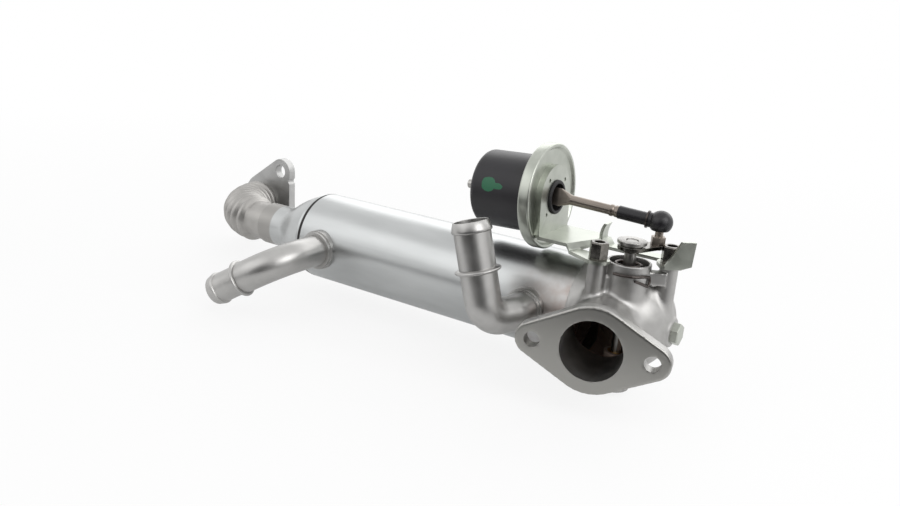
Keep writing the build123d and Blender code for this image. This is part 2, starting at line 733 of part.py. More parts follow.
def lug():
    """Return the cast block on the boss, in front of the right post."""
    seat = (Align.MIN, Align.CENTER, Align.MIN)
    block = Box(LUG_END - LUG_START, LUG_SHEET, LUG_TOP - LUG_BOTTOM, align=seat)
    block = fillet(block.edges().group_by(Axis.X)[-1], LUG_EDGE)
    run = Vector(RIGHT_POST[0] - SHAFT_X, RIGHT_POST[1] - SHAFT_Y, 0)
    plane = Plane(origin=(SHAFT_X, SHAFT_Y, LUG_BOTTOM), x_dir=run, z_dir=(0, 0, 1))
    return plane * Location((LUG_START, -LUG_OFFSET, 0)) * block


def partition():
    """Return the cast wall behind the flap, with its window and the hole of the by-pass tube."""
    near = FLAP_SHEET / 2 + FLAP_GAP
    edge_on = (Align.CENTER, Align.MAX, Align.CENTER)
    slab = Box(4 * DOME_RADIUS, PARTITION_SHEET, 3 * DOME_RADIUS, align=edge_on)
    wall = FLAP_PLANE * Location((0, -near, 0)) * slab
    wall &= dome(SHELL_LENGTH, CAVITY_RADIUS + CAST_WALL / 2, CAVITY_LENGTH + CAST_WALL / 2)
    side_on = (Align.MIN, Align.CENTER, Align.CENTER)
    window = Box(WINDOW_LENGTH, 4 * PARTITION_SHEET, WINDOW_HEIGHT, align=side_on)
    window = fillet(window.edges().filter_by(Axis.Y), WINDOW_CORNER)
    wall -= FLAP_PLANE * Location((WINDOW_START, -near, 0)) * window
    wall -= bar((PLATE_RIGHT_X, BYPASS_Y, 0), (DOME_X, BYPASS_Y, 0), BYPASS_RADIUS)
    return wall - outlet_holes()


def valve_housing():
    """Return the valve casting."""
    body = dome(COLLAR_X, DOME_RADIUS, DOME_LENGTH)
    collar = bar((COLLAR_X, 0, 0), (COLLAR_X + COLLAR_LENGTH, 0, 0), COLLAR_RADIUS)
    body += chamfer(collar.edges().filter_by(GeomType.CIRCLE), COLLAR_WALL / 4)
    duct = Cylinder(DUCT_RADIUS, DUCT_DEPTH - FLANGE_SHEET / 2, align=BASE)
    body += FLANGE_FACE * Location((0, 0, -DUCT_DEPTH)) * duct
    shaft = (SHAFT_X, SHAFT_Y)
    boss = post(shaft, INNER_BOSS_Z, BOSS_HEIGHT, BOSS_RADIUS)
    body += chamfer(boss.edges().group_by(Axis.Z)[-1], BOSS_EDGE)
    foot = post(shaft, -LOWER_BOSS_DEPTH, -INNER_BOSS_Z, LOWER_BOSS_RADIUS)
    body += chamfer(foot.edges().group_by(Axis.Z)[0], LOWER_BOSS_EDGE)
    for spot in (LEFT_POST, RIGHT_POST):
        body += post(spot, POST_FOOT, POST_TOP, POST_RADIUS)
    body += web() + lug()
    seat_end = DOME_X + DOME_LENGTH
    body += bar((seat_end - PLUG_SEAT_LENGTH, 0, -PLUG_DROP), (seat_end, 0, -PLUG_DROP), PLUG_SEAT)
    body += outlet_flange()
    body -= cavity()
    body -= bar((COLLAR_X, 0, 0), (SHELL_LENGTH, 0, 0), SHELL_RADIUS)
    body -= outlet_holes()
    body += partition()
    inner = post(shaft, INNER_BOSS_Z, CUP_FLOOR, INNER_BOSS_RADIUS)
    inner += post(shaft, -CAVITY_RADIUS, -INNER_BOSS_Z, INNER_BOSS_RADIUS)
    body += inner
    body -= post(shaft, CUP_FLOOR, BOSS_HEIGHT, CUP_RADIUS)
    body -= post(shaft, SHAFT_HOLE_FLOOR, BOSS_HEIGHT, BUSH_RADIUS)
    body -= bar((DOME_X, 0, -PLUG_DROP), (seat_end, 0, -PLUG_DROP), PLUG_SHANK)
    for spot in (LEFT_POST, RIGHT_POST):
        body -= post(spot, POST_TOP - STUD_DEPTH, POST_TOP, STUD_RADIUS)
    return body


def plug_screw():
    """Return the hexagon plug on the end of the dome."""
    seat = DOME_X + DOME_LENGTH
    head = hexagon(PLUG_FLATS, 0, PLUG_HEAD)
    head = chamfer(head.edges().group_by(Axis.Z)[-1], PLUG_EDGE)
    screw = head + Location((0, 0, -CAST_WALL)) * Cylinder(PLUG_SHANK, CAST_WALL, align=BASE)
    return Plane(origin=(seat, 0, -PLUG_DROP), x_dir=(0, 0, 1), z_dir=(1, 0, 0)) * screw


def bush(low, high):
    """Return a shaft bush between two heights."""
    return Location((SHAFT_X, SHAFT_Y, 0)) * ring(BUSH_RADIUS, BUSH_BORE, low, high)


def bush_upper():
    """Return the bush under the lever."""
    return bush(INNER_BOSS_Z, CUP_FLOOR + BUSH_RISE)


def bush_lower():
    """Return the bush in the blind hole."""
    return bush(SHAFT_HOLE_FLOOR, -INNER_BOSS_Z)


def flap_shaft():
    """Return the shaft, slotted where it holds the flap."""
    shaft = post((SHAFT_X, SHAFT_Y), SHAFT_BOTTOM, DISC_TOP - SHAFT_SETBACK, SHAFT_RADIUS)
    shaft = chamfer(shaft.edges().group_by(Axis.Z)[-1], SHAFT_EDGE)
    slot = Box(3 * SHAFT_RADIUS, FLAP_SHEET, FLAP_HEIGHT)
    return shaft - FLAP_PLANE * slot


def flap_plate():
    """Return the flap, which passes through the shaft's slot."""
    side_on = (Align.MIN, Align.CENTER, Align.CENTER)
    plate = Box(FLAP_LENGTH + SHAFT_RADIUS, FLAP_SHEET, FLAP_HEIGHT, align=side_on)
    plate = fillet(plate.edges().filter_by(Axis.Y).group_by(Axis.X)[-1], FLAP_CORNER)
    return FLAP_PLANE * Location((-SHAFT_RADIUS, 0, 0)) * plate


def torsion_spring():
    """Return the coil in the cup round the upper bush."""
    path = Helix(SPRING_PITCH, SPRING_PITCH * SPRING_TURNS, SPRING_RADIUS)
    section = Plane(origin=path @ 0, z_dir=path % 0) * Circle(SPRING_WIRE)
    coil = sweep(section, path=path, is_frenet=True)
    return Location((SHAFT_X, SHAFT_Y, CUP_FLOOR + SPRING_WIRE + SPRING_GAP)) * coil


def boss_clip():
    """Return the bent wire on the front of the boss: a long bow, a hairpin and a short way back."""
    radius = BOSS_RADIUS + CLIP_WIRE + CLIP_GAP
    upper = BOSS_HEIGHT - CLIP_DROP
    lower = upper - CLIP_DEPTH
    stations = [(turn, upper) for turn in range(-105, -15, 15)]
    stations += [(-9, upper - 0.6), (-5, upper - 3.2), (-11, lower), (-30, lower + 2.2), (-52, lower + 4.2)]
    points = []
    for turn, height in stations:
        angle = radians(turn)
        points.append((SHAFT_X + radius * cos(angle), SHAFT_Y + radius * sin(angle), height))
    return swept_bar(points, [CLIP_BEND] * (len(points) - 2), CLIP_WIRE)


def lever():
    """Return the lever plate."""
    reach_x = BALL_X - SHAFT_X
    reach_y = BALL_Y - SHAFT_Y
    outline = hull((0, 0, LEVER_HUB), (reach_x, reach_y, LEVER_TIP))
    outline -= Circle(SHAFT_RADIUS)
    outline -= Location((reach_x, reach_y)) * Circle(STUD_SHANK)
    return Location((SHAFT_X, SHAFT_Y, LEVER_Z)) * extrude(outline, LEVER_SHEET)


def shaft_disc(radius, low, high):
    """Return a disc pressed on the shaft."""
    return Location((SHAFT_X, SHAFT_Y, 0)) * ring(radius, SHAFT_RADIUS, low, high)


def lever_washer():
    """Return the washer under the lever."""
    return shaft_disc(WASHER_RADIUS, LEVER_Z - WASHER_SHEET, LEVER_Z)


def lever_disc():
    """Return the narrow disc between the lever and the top disc."""
    return shaft_disc(LEVER_DISC_RADIUS, LEVER_TOP, LEVER_TOP + LEVER_DISC_SHEET)


def top_disc():
    """Return the wider disc on top."""
    return shaft_disc(TOP_DISC_RADIUS, DISC_TOP - TOP_DISC_SHEET, DISC_TOP)


def ball_stud():
    """Return the stud: riveted shank, hexagon, neck and ball."""
    low = LEVER_Z - STUD_RIVET
    stud = Location((0, 0, low)) * Cylinder(STUD_SHANK, BALL_Z - low, align=BASE)
    stud += Location((0, 0, low)) * Cylinder(STUD_RIVET_RADIUS, STUD_RIVET, align=BASE)
    stud += hexagon(STUD_FLATS, LEVER_TOP, LEVER_TOP + STUD_HEX)
    stud += Location((0, 0, BALL_Z)) * Sphere(BALL_RADIUS)
    return Location((BALL_X, BALL_Y, 0)) * stud


def ball_socket():
    """Return the socket that snaps over the ball, cut flat below, with a neck for the rod."""
    body = Location(BALL) * Sphere(SOCKET_RADIUS)
    body += ROD_PLANE * Cylinder(SOCKET_NECK, SOCKET_LENGTH, align=BASE)
    body -= Location(BALL) * Sphere(BALL_RADIUS + BALL_FIT)
    body -= post((BALL_X, BALL_Y), BALL_Z - SOCKET_RADIUS, BALL_Z, SOCKET_MOUTH)
    return body - post((BALL_X, BALL_Y), BALL_Z - SOCKET_RADIUS, BALL_Z - SOCKET_FLOOR, SOCKET_RADIUS)


def rod_piece(start, length, radius, bore=0):
    """Return a round piece on the rod's axis, at a distance from the ball's centre."""
    piece = Cylinder(radius, length, align=BASE)
    if bore:
        piece -= Cylinder(bore, length, align=BASE)
    return ROD_PLANE * Location((0, 0, start)) * piece


def socket_clip():
    """Return the spring ring on the socket's neck."""
    return rod_piece(SOCKET_LENGTH, CLIP_RING_SHEET, CLIP_RING, ROD_RADIUS)


def rod_sleeve():
    """Return the black sleeve."""
    start = SOCKET_LENGTH + CLIP_RING_SHEET
    return rod_piece(start, SLEEVE_LENGTH, SLEEVE_RADIUS, ROD_RADIUS)


def rod_ferrule():
    """Return the ring behind the sleeve, with a rolled groove round its middle."""
    start = SOCKET_LENGTH + CLIP_RING_SHEET + SLEEVE_LENGTH
    third = FERRULE_LENGTH / 3
    ferrule = turned(
        (ROD_RADIUS, 0),
        (FERRULE_RADIUS, 0),
        (FERRULE_RADIUS, third),
        (FERRULE_RADIUS - FERRULE_GROOVE, 1.5 * third),
        (FERRULE_RADIUS, 2 * third),
        (FERRULE_RADIUS, FERRULE_LENGTH),
        (ROD_RADIUS, FERRULE_LENGTH),
    )
    return ROD_PLANE * Location((0, 0, start)) * ferrule


def pull_rod():
    """Return the rod, forged flat where it passes the boot and narrower in the stem cup."""
    flare_start = ROD_LENGTH - BLADE_FLARE
    rod = Cylinder(ROD_RADIUS, flare_start - SOCKET_LENGTH, align=BASE)
    rod = Location((0, 0, SOCKET_LENGTH)) * rod
    narrow = RectangleRounded(2 * ROD_RADIUS, 2 * ROD_RADIUS, 0.9 * ROD_RADIUS)
    wide = RectangleRounded(BLADE_HEIGHT, BLADE_SHEET, 0.2 * BLADE_SHEET)
    rod += loft([Location((0, 0, flare_start)) * narrow, Location((0, 0, ROD_LENGTH)) * wide])
    rod += Location((0, 0, ROD_LENGTH)) * Box(BLADE_HEIGHT, BLADE_SHEET, BLADE_LENGTH, align=BASE)
    tail = Box(BLADE_TAIL_HEIGHT, BLADE_SHEET, BLADE_TAIL, align=BASE)
    rod += Location((0, 0, ROD_LENGTH + BLADE_LENGTH)) * tail
    return ROD_PLANE * Rotation(0, 0, BLADE_TWIST) * rod


def actuator_can():
    """Return the drawn can, with a wide flange at its mouth."""
    floor = -CAN_LENGTH
    mouth = CAN_FLANGE_BACK
    inner = CAN_RADIUS - CAN_WALL
    can = turned(
        (0, floor),
        (CAN_RADIUS, floor),
        (CAN_RADIUS, mouth),
        (CAN_FLANGE_RADIUS, mouth),
        (CAN_FLANGE_RADIUS, DIAPHRAGM_BACK),
        (inner, DIAPHRAGM_BACK),
        (inner, floor + CAN_WALL),
        (0, floor + CAN_WALL),
    )
    corner = can.edges().filter_by(GeomType.CIRCLE).group_by(Axis.Z)[0]
    can = fillet(corner, CAN_CORNER)
    can -= Location((0, 0, floor)) * Cylinder(SPIGOT_RADIUS, CAN_WALL, align=BASE)
    return ACTUATOR * can


def vacuum_nipple():
    """Return the nipple, with a narrower spigot brazed into the can's floor."""
    floor = -CAN_LENGTH
    tip = floor - NIPPLE_LENGTH
    nipple = turned(
        (NIPPLE_BORE, floor + CAN_WALL),
        (NIPPLE_BORE, tip),
        (NIPPLE_RADIUS - NIPPLE_TIP, tip),
        (NIPPLE_RADIUS, tip + NIPPLE_TIP),
        (NIPPLE_RADIUS, floor),
        (SPIGOT_RADIUS, floor),
        (SPIGOT_RADIUS, floor + CAN_WALL),
    )
    return ACTUATOR * nipple


def actuator_cover():
    """Return the front cover: a disc, and a rim that stands proud in front and is crimped behind the can."""
    crest = RIM_RADIUS - RIM_LIP
    hem = RIM_RADIUS - RIM_SHEET - RIM_LIP
    cover = turned(
        (BOOT_RADIUS, -COVER_SETBACK),
        (crest - RIM_SLOPE, -COVER_SETBACK),
        (crest, 0),
        (RIM_RADIUS - RIM_EDGE, 0),
        (RIM_RADIUS, -RIM_EDGE),
        (RIM_RADIUS, RIM_EDGE - RIM_DEPTH),
        (RIM_RADIUS - RIM_EDGE, -RIM_DEPTH),
        (hem, -RIM_DEPTH),
        (hem, CAN_FLANGE_BACK),
        (CAN_FLANGE_RADIUS, CAN_FLANGE_BACK),
        (CAN_FLANGE_RADIUS, COVER_BACK),
        (BOOT_RADIUS, COVER_BACK),
    )
    return ACTUATOR * cover


def diaphragm():
    """Return the rubber diaphragm, from its clamped bead to its rolled inner edge."""
    fold = CAN_RADIUS - CAN_WALL
    edge = PISTON_RADIUS + DIAPHRAGM_EDGE_GAP
    skin = turned(
        (fold - DIAPHRAGM_SHEET, COVER_BACK),
        (CAN_FLANGE_RADIUS, COVER_BACK),
        (CAN_FLANGE_RADIUS, DIAPHRAGM_BACK),
        (fold, DIAPHRAGM_BACK),
        (edge + DIAPHRAGM_SHEET / 2, PISTON_S),
        (edge, PISTON_S),
    )
    return ACTUATOR * skin


def piston_cup():
    """Return the piston plate with the cup that takes the end of the rod."""
    front = PISTON_S + PISTON_SHEET
    mouth = front + STEM_CUP_LENGTH
    plate = Location((0, 0, PISTON_S)) * Cylinder(PISTON_RADIUS, PISTON_SHEET, align=BASE)
    cup = ring(STEM_CUP_RADIUS, STEM_CUP_RADIUS - STEM_CUP_WALL, front, mouth)
    return ACTUATOR * (plate + cup)


def return_spring():
    """Return the return spring at its shortest, between the can's floor and the drawn-back piston."""
    low = -CAN_LENGTH + CAN_WALL + COIL_WIRE + COIL_FLOOR_GAP
    high = PISTON_S - PISTON_TRAVEL - COIL_WIRE - COIL_PLATE_GAP
    height = high - low
    path = Helix(height / COIL_TURNS, height, COIL_RADIUS)
    section = Plane(origin=path @ 0, z_dir=path % 0) * Circle(COIL_WIRE)
    return ACTUATOR * Location((0, 0, low)) * sweep(section, path=path, is_frenet=True)


def rod_boot():
    """Return the rubber boot, held in the cover and the bracket, with a lip in front."""
    boot = turned(
        (BOOT_BORE, COVER_BACK),
        (BOOT_RADIUS, COVER_BACK),
        (BOOT_RADIUS, PAN_FRONT),
        (BOOT_RADIUS + BOOT_LIP, PAN_FRONT),
        (BOOT_RADIUS + BOOT_LIP, PAN_FRONT + BOOT_LIP_SHEET),
        (BOOT_RADIUS, PAN_FRONT + BOOT_NOSE),
        (BOOT_BORE, PAN_FRONT + BOOT_NOSE),
    )
    return ACTUATOR * boot


def bracket_pan():
    """Return the raised pan on the cover: an arched sheet with a turned-back edge."""
    foot = (ACTUATOR_Z - STEP_TOP) / cos(radians(ACTUATOR_LEAN)) + SHEET
    outline = Circle(PAN_RADIUS) + Rectangle(2 * PAN_RADIUS, foot, align=(Align.CENTER, Align.MAX))
    outline = chamfer(outline.vertices().group_by(Axis.Y)[0], PAN_CORNER)
    inner = offset(outline, -SHEET)
    pan = extrude(outline, -PAN_DEPTH)
    pan -= Location((0, 0, -SHEET)) * extrude(inner, -PAN_DEPTH)
    pan -= Cylinder(BOOT_RADIUS, 4 * PAN_DEPTH)
    for turn in DIMPLE_ANGLES:
        spot = (DIMPLE_CIRCLE * cos(radians(turn)), DIMPLE_CIRCLE * sin(radians(turn)), -DIMPLE_DEPTH)
        pan -= Location(spot) * Cylinder(DIMPLE_RADIUS, DIMPLE_DEPTH, align=BASE)
    return ACTUATOR * Location((0, 0, PAN_FRONT)) * pan


def bracket_plan():
    """Return the plan outline of the bracket's flat part."""
    near = ACTUATOR_Y - PAN_RADIUS
    far = ACTUATOR_Y + PAN_RADIUS
    start = ACTUATOR_X + PAN_FRONT
    shelf = make_face(Polyline(
        (start, near), (STEP_X, near), (HOOK_X, 0), (HOOK_X, STRIP_FAR), (STEP_X, far), (start, far),
        close=True,
    ))
    arm = hull((STEP_X, near + ARM_WIDTH / 2, ARM_WIDTH / 2), (*LEFT_POST, EYE_RADIUS))
    length = RIGHT_POST[0] - start
    strip = Location((start, 0)) * Rectangle(length, STRIP_FAR, align=(Align.MIN, Align.MIN))
    foot_x = TAB_START[0] + TAB_FOOT * cos(radians(TAB_ANGLE))
    foot_y = TAB_START[1] + TAB_FOOT * sin(radians(TAB_ANGLE))
    foot = hull((*RIGHT_POST, EYE_RADIUS), (*TAB_START, SHEET), (foot_x, foot_y, SHEET))
    outline = shelf + arm + strip + foot
    outline -= Location((SHAFT_X, SHAFT_Y)) * Circle(BOSS_RADIUS + BOSS_CLEARANCE)
    for spot in (LEFT_POST, RIGHT_POST):
        outline -= Location(spot) * Circle(STUD_RADIUS + BOLT_CLEARANCE)
    return outline


def bracket_tab():
    """Return the upright tab at the bracket's end."""
    outline = Polyline(
        (0, -SHEET),
        (TAB_FOOT, -SHEET),
        (TAB_LENGTH - TAB_FOOT_SETBACK, 0),
        (TAB_LENGTH, TAB_RISE),
        (TAB_TOP_START, TAB_RISE),
        (0, 0),
        close=True,
    )
    direction = (cos(radians(TAB_ANGLE)), sin(radians(TAB_ANGLE)), 0)
    normal = (sin(radians(TAB_ANGLE)), -cos(radians(TAB_ANGLE)), 0)
    plane = Plane(origin=(*TAB_START, SHEET_TOP), x_dir=direction, z_dir=normal)
    return plane * extrude(make_face(outline), SHEET)


def bracket_hook():
    """Return the upright hook, curved towards the valve."""
    low = SHEET_TOP - SHEET
    rise = HOOK_RISE + SHEET
    outer = ThreePointArc((0, 0), (-HOOK_BOW, rise / 2), (0, rise))
    inner = ThreePointArc((SHEET, rise), (SHEET - HOOK_BOW, rise / 2), (SHEET, 0))
    top = Line((0, rise), (SHEET, rise))
    bottom = Line((SHEET, 0), (0, 0))
    outline = make_face(outer.edges() + top.edges() + inner.edges() + bottom.edges())
    plane = Plane(origin=(HOOK_X, HOOK_Y, low), x_dir=(1, 0, 0), z_dir=(0, -1, 0))
    return plane * extrude(outline, HOOK_WIDTH / 2, both=True)


def bracket():
    """Return the bracket, one folded sheet."""
    reach = 3 * DOME_RADIUS
    line = ((-reach, STEP_TOP), (0, STEP_TOP), (STEP_RUN, SHEET_TOP), (reach, SHEET_TOP))
    below = [(x, z - SHEET) for x, z in reversed(line)]
    side = make_face(Polyline(*line, *below, close=True))
    lean = radians(STEP_LEAN)
    corner = (STEP_X - STEP_RUN, ACTUATOR_Y - PAN_RADIUS, 0)
    across = Plane(origin=corner, x_dir=(cos(lean), -sin(lean), 0), z_dir=(-sin(lean), -cos(lean), 0))
    slab = extrude(across * side, reach, both=True)
    plan = Location((0, 0, POST_TOP)) * extrude(bracket_plan(), STEP_TOP - POST_TOP)
    return (slab & plan) + bracket_pan() + bracket_tab() + bracket_hook()


def post_pair(make):
    """Return one piece made over each post."""
    return Compound(children=[Location((*spot, POST_TOP)) * make() for spot in (LEFT_POST, RIGHT_POST)])


def stud():
    """Return a stud that stands in its post."""
    low = STUD_END_GAP - STUD_DEPTH
    return Location((0, 0, low)) * Cylinder(STUD_RADIUS, SHEET + NUT_HEIGHT - NUT_RECESS - low, align=BASE)


def nut():
    """Return a tall nut on the bracket, open on top."""
    body = hexagon(NUT_FLATS, SHEET, SHEET + NUT_HEIGHT)
    body = chamfer(body.edges().group_by(Axis.Z)[-1], NUT_EDGE)
    return body - Location((0, 0, SHEET)) * Cylinder(STUD_RADIUS, NUT_HEIGHT, align=BASE)


def post_studs():
    """Return the two studs."""
    return post_pair(stud)


def post_nuts():
    """Return the two nuts."""
    return post_pair(nut)


PIECES = (
    shell_tube,
    tube_plate_left,
    tube_plate_right,
    gas_tubes,
    bypass_tube,
    baffles,
    inlet_cone,
    bellows_pipe,
    exhaust_flange,
    coolant_pipe_left,
    coolant_pipe_right,
    pipe_collar_left,
    pipe_collar_right,
    valve_housing,
    plug_screw,
    bush_upper,
    bush_lower,
    flap_shaft,
    flap_plate,
    torsion_spring,
    boss_clip,
    lever,
    lever_washer,
    lever_disc,
    top_disc,
    ball_stud,
    ball_socket,
    socket_clip,
    rod_sleeve,
    rod_ferrule,
    pull_rod,
    actuator_can,
    vacuum_nipple,
    actuator_cover,
    diaphragm,
    piston_cup,
    return_spring,
    rod_boot,
    bracket,
    post_studs,
    post_nuts,
)


def main():
    """Write each piece to its own STEP file."""
    os.makedirs("parts", exist_ok=True)
    for piece in PIECES:
        export_step(COOLER_TO_ORIGIN * piece(), f"parts/{piece.__name__}.step")


main()
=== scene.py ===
# %% [markdown]
# # A gas cooler with a by-pass valve
# Hot exhaust gas enters through the bellows at one end, gives its heat to the coolant in the long
# steel shell, and leaves through the cast valve at the other end. A vacuum actuator pulls a rod,
# and the rod turns a flap in the casting that lets the gas miss the cooler when the engine is cold.
#
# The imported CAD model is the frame: its bodies move, and its nodes stay where they are. The cells
# below add a camera, the light and the finishes, and they put smoother surfaces in place of some
# nodes.

import json
from math import cos, radians, sin

import bmesh
import bpy
import numpy as np
from mathutils import Matrix, Vector

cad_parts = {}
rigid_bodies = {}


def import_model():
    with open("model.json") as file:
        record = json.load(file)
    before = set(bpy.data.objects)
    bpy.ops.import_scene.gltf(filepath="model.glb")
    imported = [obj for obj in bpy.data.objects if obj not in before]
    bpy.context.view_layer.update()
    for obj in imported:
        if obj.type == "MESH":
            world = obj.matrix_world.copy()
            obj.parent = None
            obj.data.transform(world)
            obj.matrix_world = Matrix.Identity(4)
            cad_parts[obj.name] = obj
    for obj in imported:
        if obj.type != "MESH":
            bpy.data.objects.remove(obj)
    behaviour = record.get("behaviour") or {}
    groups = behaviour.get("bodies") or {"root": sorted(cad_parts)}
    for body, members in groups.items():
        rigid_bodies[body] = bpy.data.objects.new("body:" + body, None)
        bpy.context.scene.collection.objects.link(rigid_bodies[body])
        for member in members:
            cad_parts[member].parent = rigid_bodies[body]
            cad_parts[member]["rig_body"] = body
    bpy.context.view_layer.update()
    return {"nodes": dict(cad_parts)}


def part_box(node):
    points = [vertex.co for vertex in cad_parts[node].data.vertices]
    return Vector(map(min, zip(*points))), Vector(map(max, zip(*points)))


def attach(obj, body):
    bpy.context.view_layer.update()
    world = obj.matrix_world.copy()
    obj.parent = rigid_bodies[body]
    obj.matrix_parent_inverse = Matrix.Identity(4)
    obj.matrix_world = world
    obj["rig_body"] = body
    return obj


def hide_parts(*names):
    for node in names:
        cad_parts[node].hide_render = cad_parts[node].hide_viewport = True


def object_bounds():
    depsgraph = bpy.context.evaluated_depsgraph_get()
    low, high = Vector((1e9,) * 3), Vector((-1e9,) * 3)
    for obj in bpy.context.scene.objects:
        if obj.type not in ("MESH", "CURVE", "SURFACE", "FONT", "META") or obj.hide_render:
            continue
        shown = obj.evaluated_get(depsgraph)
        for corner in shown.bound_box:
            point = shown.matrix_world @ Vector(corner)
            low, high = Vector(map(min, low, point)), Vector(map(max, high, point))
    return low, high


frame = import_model()

# %% [markdown]
# ## One set of axes for every new piece
# The frame has its origin on the face of the outlet flange. The shapes are easier to think of from
# the shell's axis, so each new piece is worked out in millimetres from the middle of the shell's
# inlet end, with X along the shell, and only its finished points are shifted and scaled into the
# frame. The outlet is turned a little from the shell's side, so its face has two directions of its
# own.

# %% Axes of the shell and of the outlet
MM = 0.001
shell_low, shell_high = (np.array(corner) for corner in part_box("shell_tube"))
AXIS_START = (shell_low + shell_high) / 2
AXIS_START[0] = shell_low[0]
SHELL_RADIUS = (shell_high[2] - shell_low[2]) / 2 / MM
X, Y, Z = np.eye(3)
OUTLET = np.array([245.5, -63.0, 0.0])
OUTLET_TURN = radians(12.7)
OUTLET_NORMAL = np.array([sin(OUTLET_TURN), -cos(OUTLET_TURN), 0.0])
OUTLET_ACROSS = np.array([cos(OUTLET_TURN), sin(OUTLET_TURN), 0.0])


def to_frame(points):
    """Frame point = start of the shell's axis + 0.001 x point in millimetres."""
    return AXIS_START + np.asarray(points, float) * MM


print("shell radius in mm:", round(SHELL_RADIUS, 2))

# %% [markdown]
# ## The camera
# The photograph looks down on the outlet flange from the right, with the camera near and a little
# rolled, so the shell runs away to the left and gets smaller. The place, the turn and the focal
# length were fitted to round edges whose real shape is known, such as the flange, the shell's end
# and the can.

# %% Camera at the photograph's angle
YAW, PITCH, ROLL = radians(32.38), radians(16.97), radians(4.34)
CAMERA_PLACE = (0.1507, -0.38678, 0.17396)
FOCAL_PIXELS = 813.67
PICTURE_WIDTH = 900
forward = np.array([-sin(YAW) * cos(PITCH), cos(YAW) * cos(PITCH), -sin(PITCH)])
level = np.array([cos(YAW), sin(YAW), 0.0])
upright = np.cross(level, forward)
across = cos(ROLL) * level + sin(ROLL) * upright
upwards = -sin(ROLL) * level + cos(ROLL) * upright
camera = bpy.data.objects.new("camera", bpy.data.cameras.new("camera"))
camera.data.sensor_width = 36.0
camera.data.lens = FOCAL_PIXELS * camera.data.sensor_width / PICTURE_WIDTH
camera.data.clip_start = 0.01
turn = Matrix(np.column_stack([across, upwards, -forward]).tolist())
camera.matrix_world = Matrix.Translation(CAMERA_PLACE) @ turn.to_4x4()
bpy.context.scene.collection.objects.link(camera)
bpy.context.scene.camera = camera
bpy.context.scene.view_settings.view_transform = "Standard"
print("lens in mm:", round(camera.data.lens, 2))

# %% [markdown]
# ## Colours and nodes
# A colour in the file is the one that is picked from a picture, so it is sRGB. Cycles counts
# in linear light, and one function changes the one into the other. Another one adds a node and
# returns one of its outputs: a value in its list is set on the socket or the property of that
# name, and a socket in the list is linked.


# %% Helpers for materials
def linear(code):
    """Each channel c of an sRGB hex becomes ((c + 0.055) / 1.055) to the power 2.4, alpha 1."""
    channels = np.array([int(code[i : i + 2], 16) for i in (1, 3, 5)]) / 255
    low = channels / 12.92
    high = ((channels + 0.055) / 1.055) ** 2.4
    return (*np.where(channels <= 0.04045, low, high), 1.0)


def add(tree, kind, settings, output=0):
    """Add a node, set or link its sockets and properties by name or place, return one output."""
    node = tree.nodes.new("ShaderNode" + kind)
    for name, value in settings.items():
        if isinstance(name, str) and name in node.bl_rna.properties:
            setattr(node, name, value)
        elif isinstance(value, bpy.types.NodeSocket):
            tree.links.new(value, node.inputs[name])
        else:
            node.inputs[name].default_value = value
    return node.outputs[output] if node.outputs else None


MATERIALS = {}


def material(name, build):
    """Make a material whose surface is the shader that build returns."""
    made = bpy.data.materials.new(name)
    made.use_nodes = True
    tree = made.node_tree
    tree.nodes.clear()
    add(tree, "OutputMaterial", {"Surface": build(tree)})
    MATERIALS[name] = made
    return made


# %% [markdown]
# ## Patterns
# Grains and clouds are both noise: the grains are as fine as the blasting left them, the clouds
# are the slow change of colour over a surface. Other patterns mark a place. They are a share from
# 0 to 1 that depends on how far a point lies along a direction or from a centre.

# %% Grains, clouds and places
EVEN = (1.0, 1.0, 1.0)


def grain(tree, size, stretch=EVEN, detail=3.0):
    """Return a noise value whose blotches are size mm wide, longer where stretch is under 1."""
    place = add(tree, "TexCoord", {}, "Object")
    scaled = add(tree, "Mapping", {"Vector": place, "Scale": stretch})
    return add(tree, "TexNoise", {"Vector": scaled, "Scale": 1 / (size * MM), "Detail": detail})


def clouds(tree, size, stretch=EVEN):
    """Return a share that goes from 0 to 1 where the noise goes from 0.3 to 0.7."""
    noise = grain(tree, size, stretch)
    return add(tree, "MapRange", {"Value": noise, "From Min": 0.3, "From Max": 0.7})


def position_along(tree, direction):
    """Return the product of a point and a direction: metres along it from the outlet's middle."""
    place = add(tree, "TexCoord", {}, "Object")
    return add(tree, "VectorMath", {"operation": "DOT_PRODUCT", 0: place, 1: direction}, "Value")


def distance_in_radii(tree, offset, radii):
    """Return the length of an offset whose parts are each divided by a radius in mm."""
    radii = tuple(radius * MM for radius in radii)
    share = add(tree, "VectorMath", {"operation": "DIVIDE", 0: offset, 1: radii})
    return add(tree, "VectorMath", {"operation": "LENGTH", 0: share}, "Value")


# %% [markdown]
# ## Metals
# Every metal here is the same physics with different skin: a coloured mirror, blurred by the
# roughness that its making left. Rolled and drawn steel has faint streaks along the way it was
# drawn, blasted castings have grains of a few tenths of a millimetre, and zinc plating has soft
# clouds. One recipe takes those sizes and the two colours between which the clouds vary. A stain
# is a share from 0 to 1 with a colour, a roughness and a metallic value of its own, for a machined
# face, a heat tint or the brown oxide that hot gas leaves on the inside.


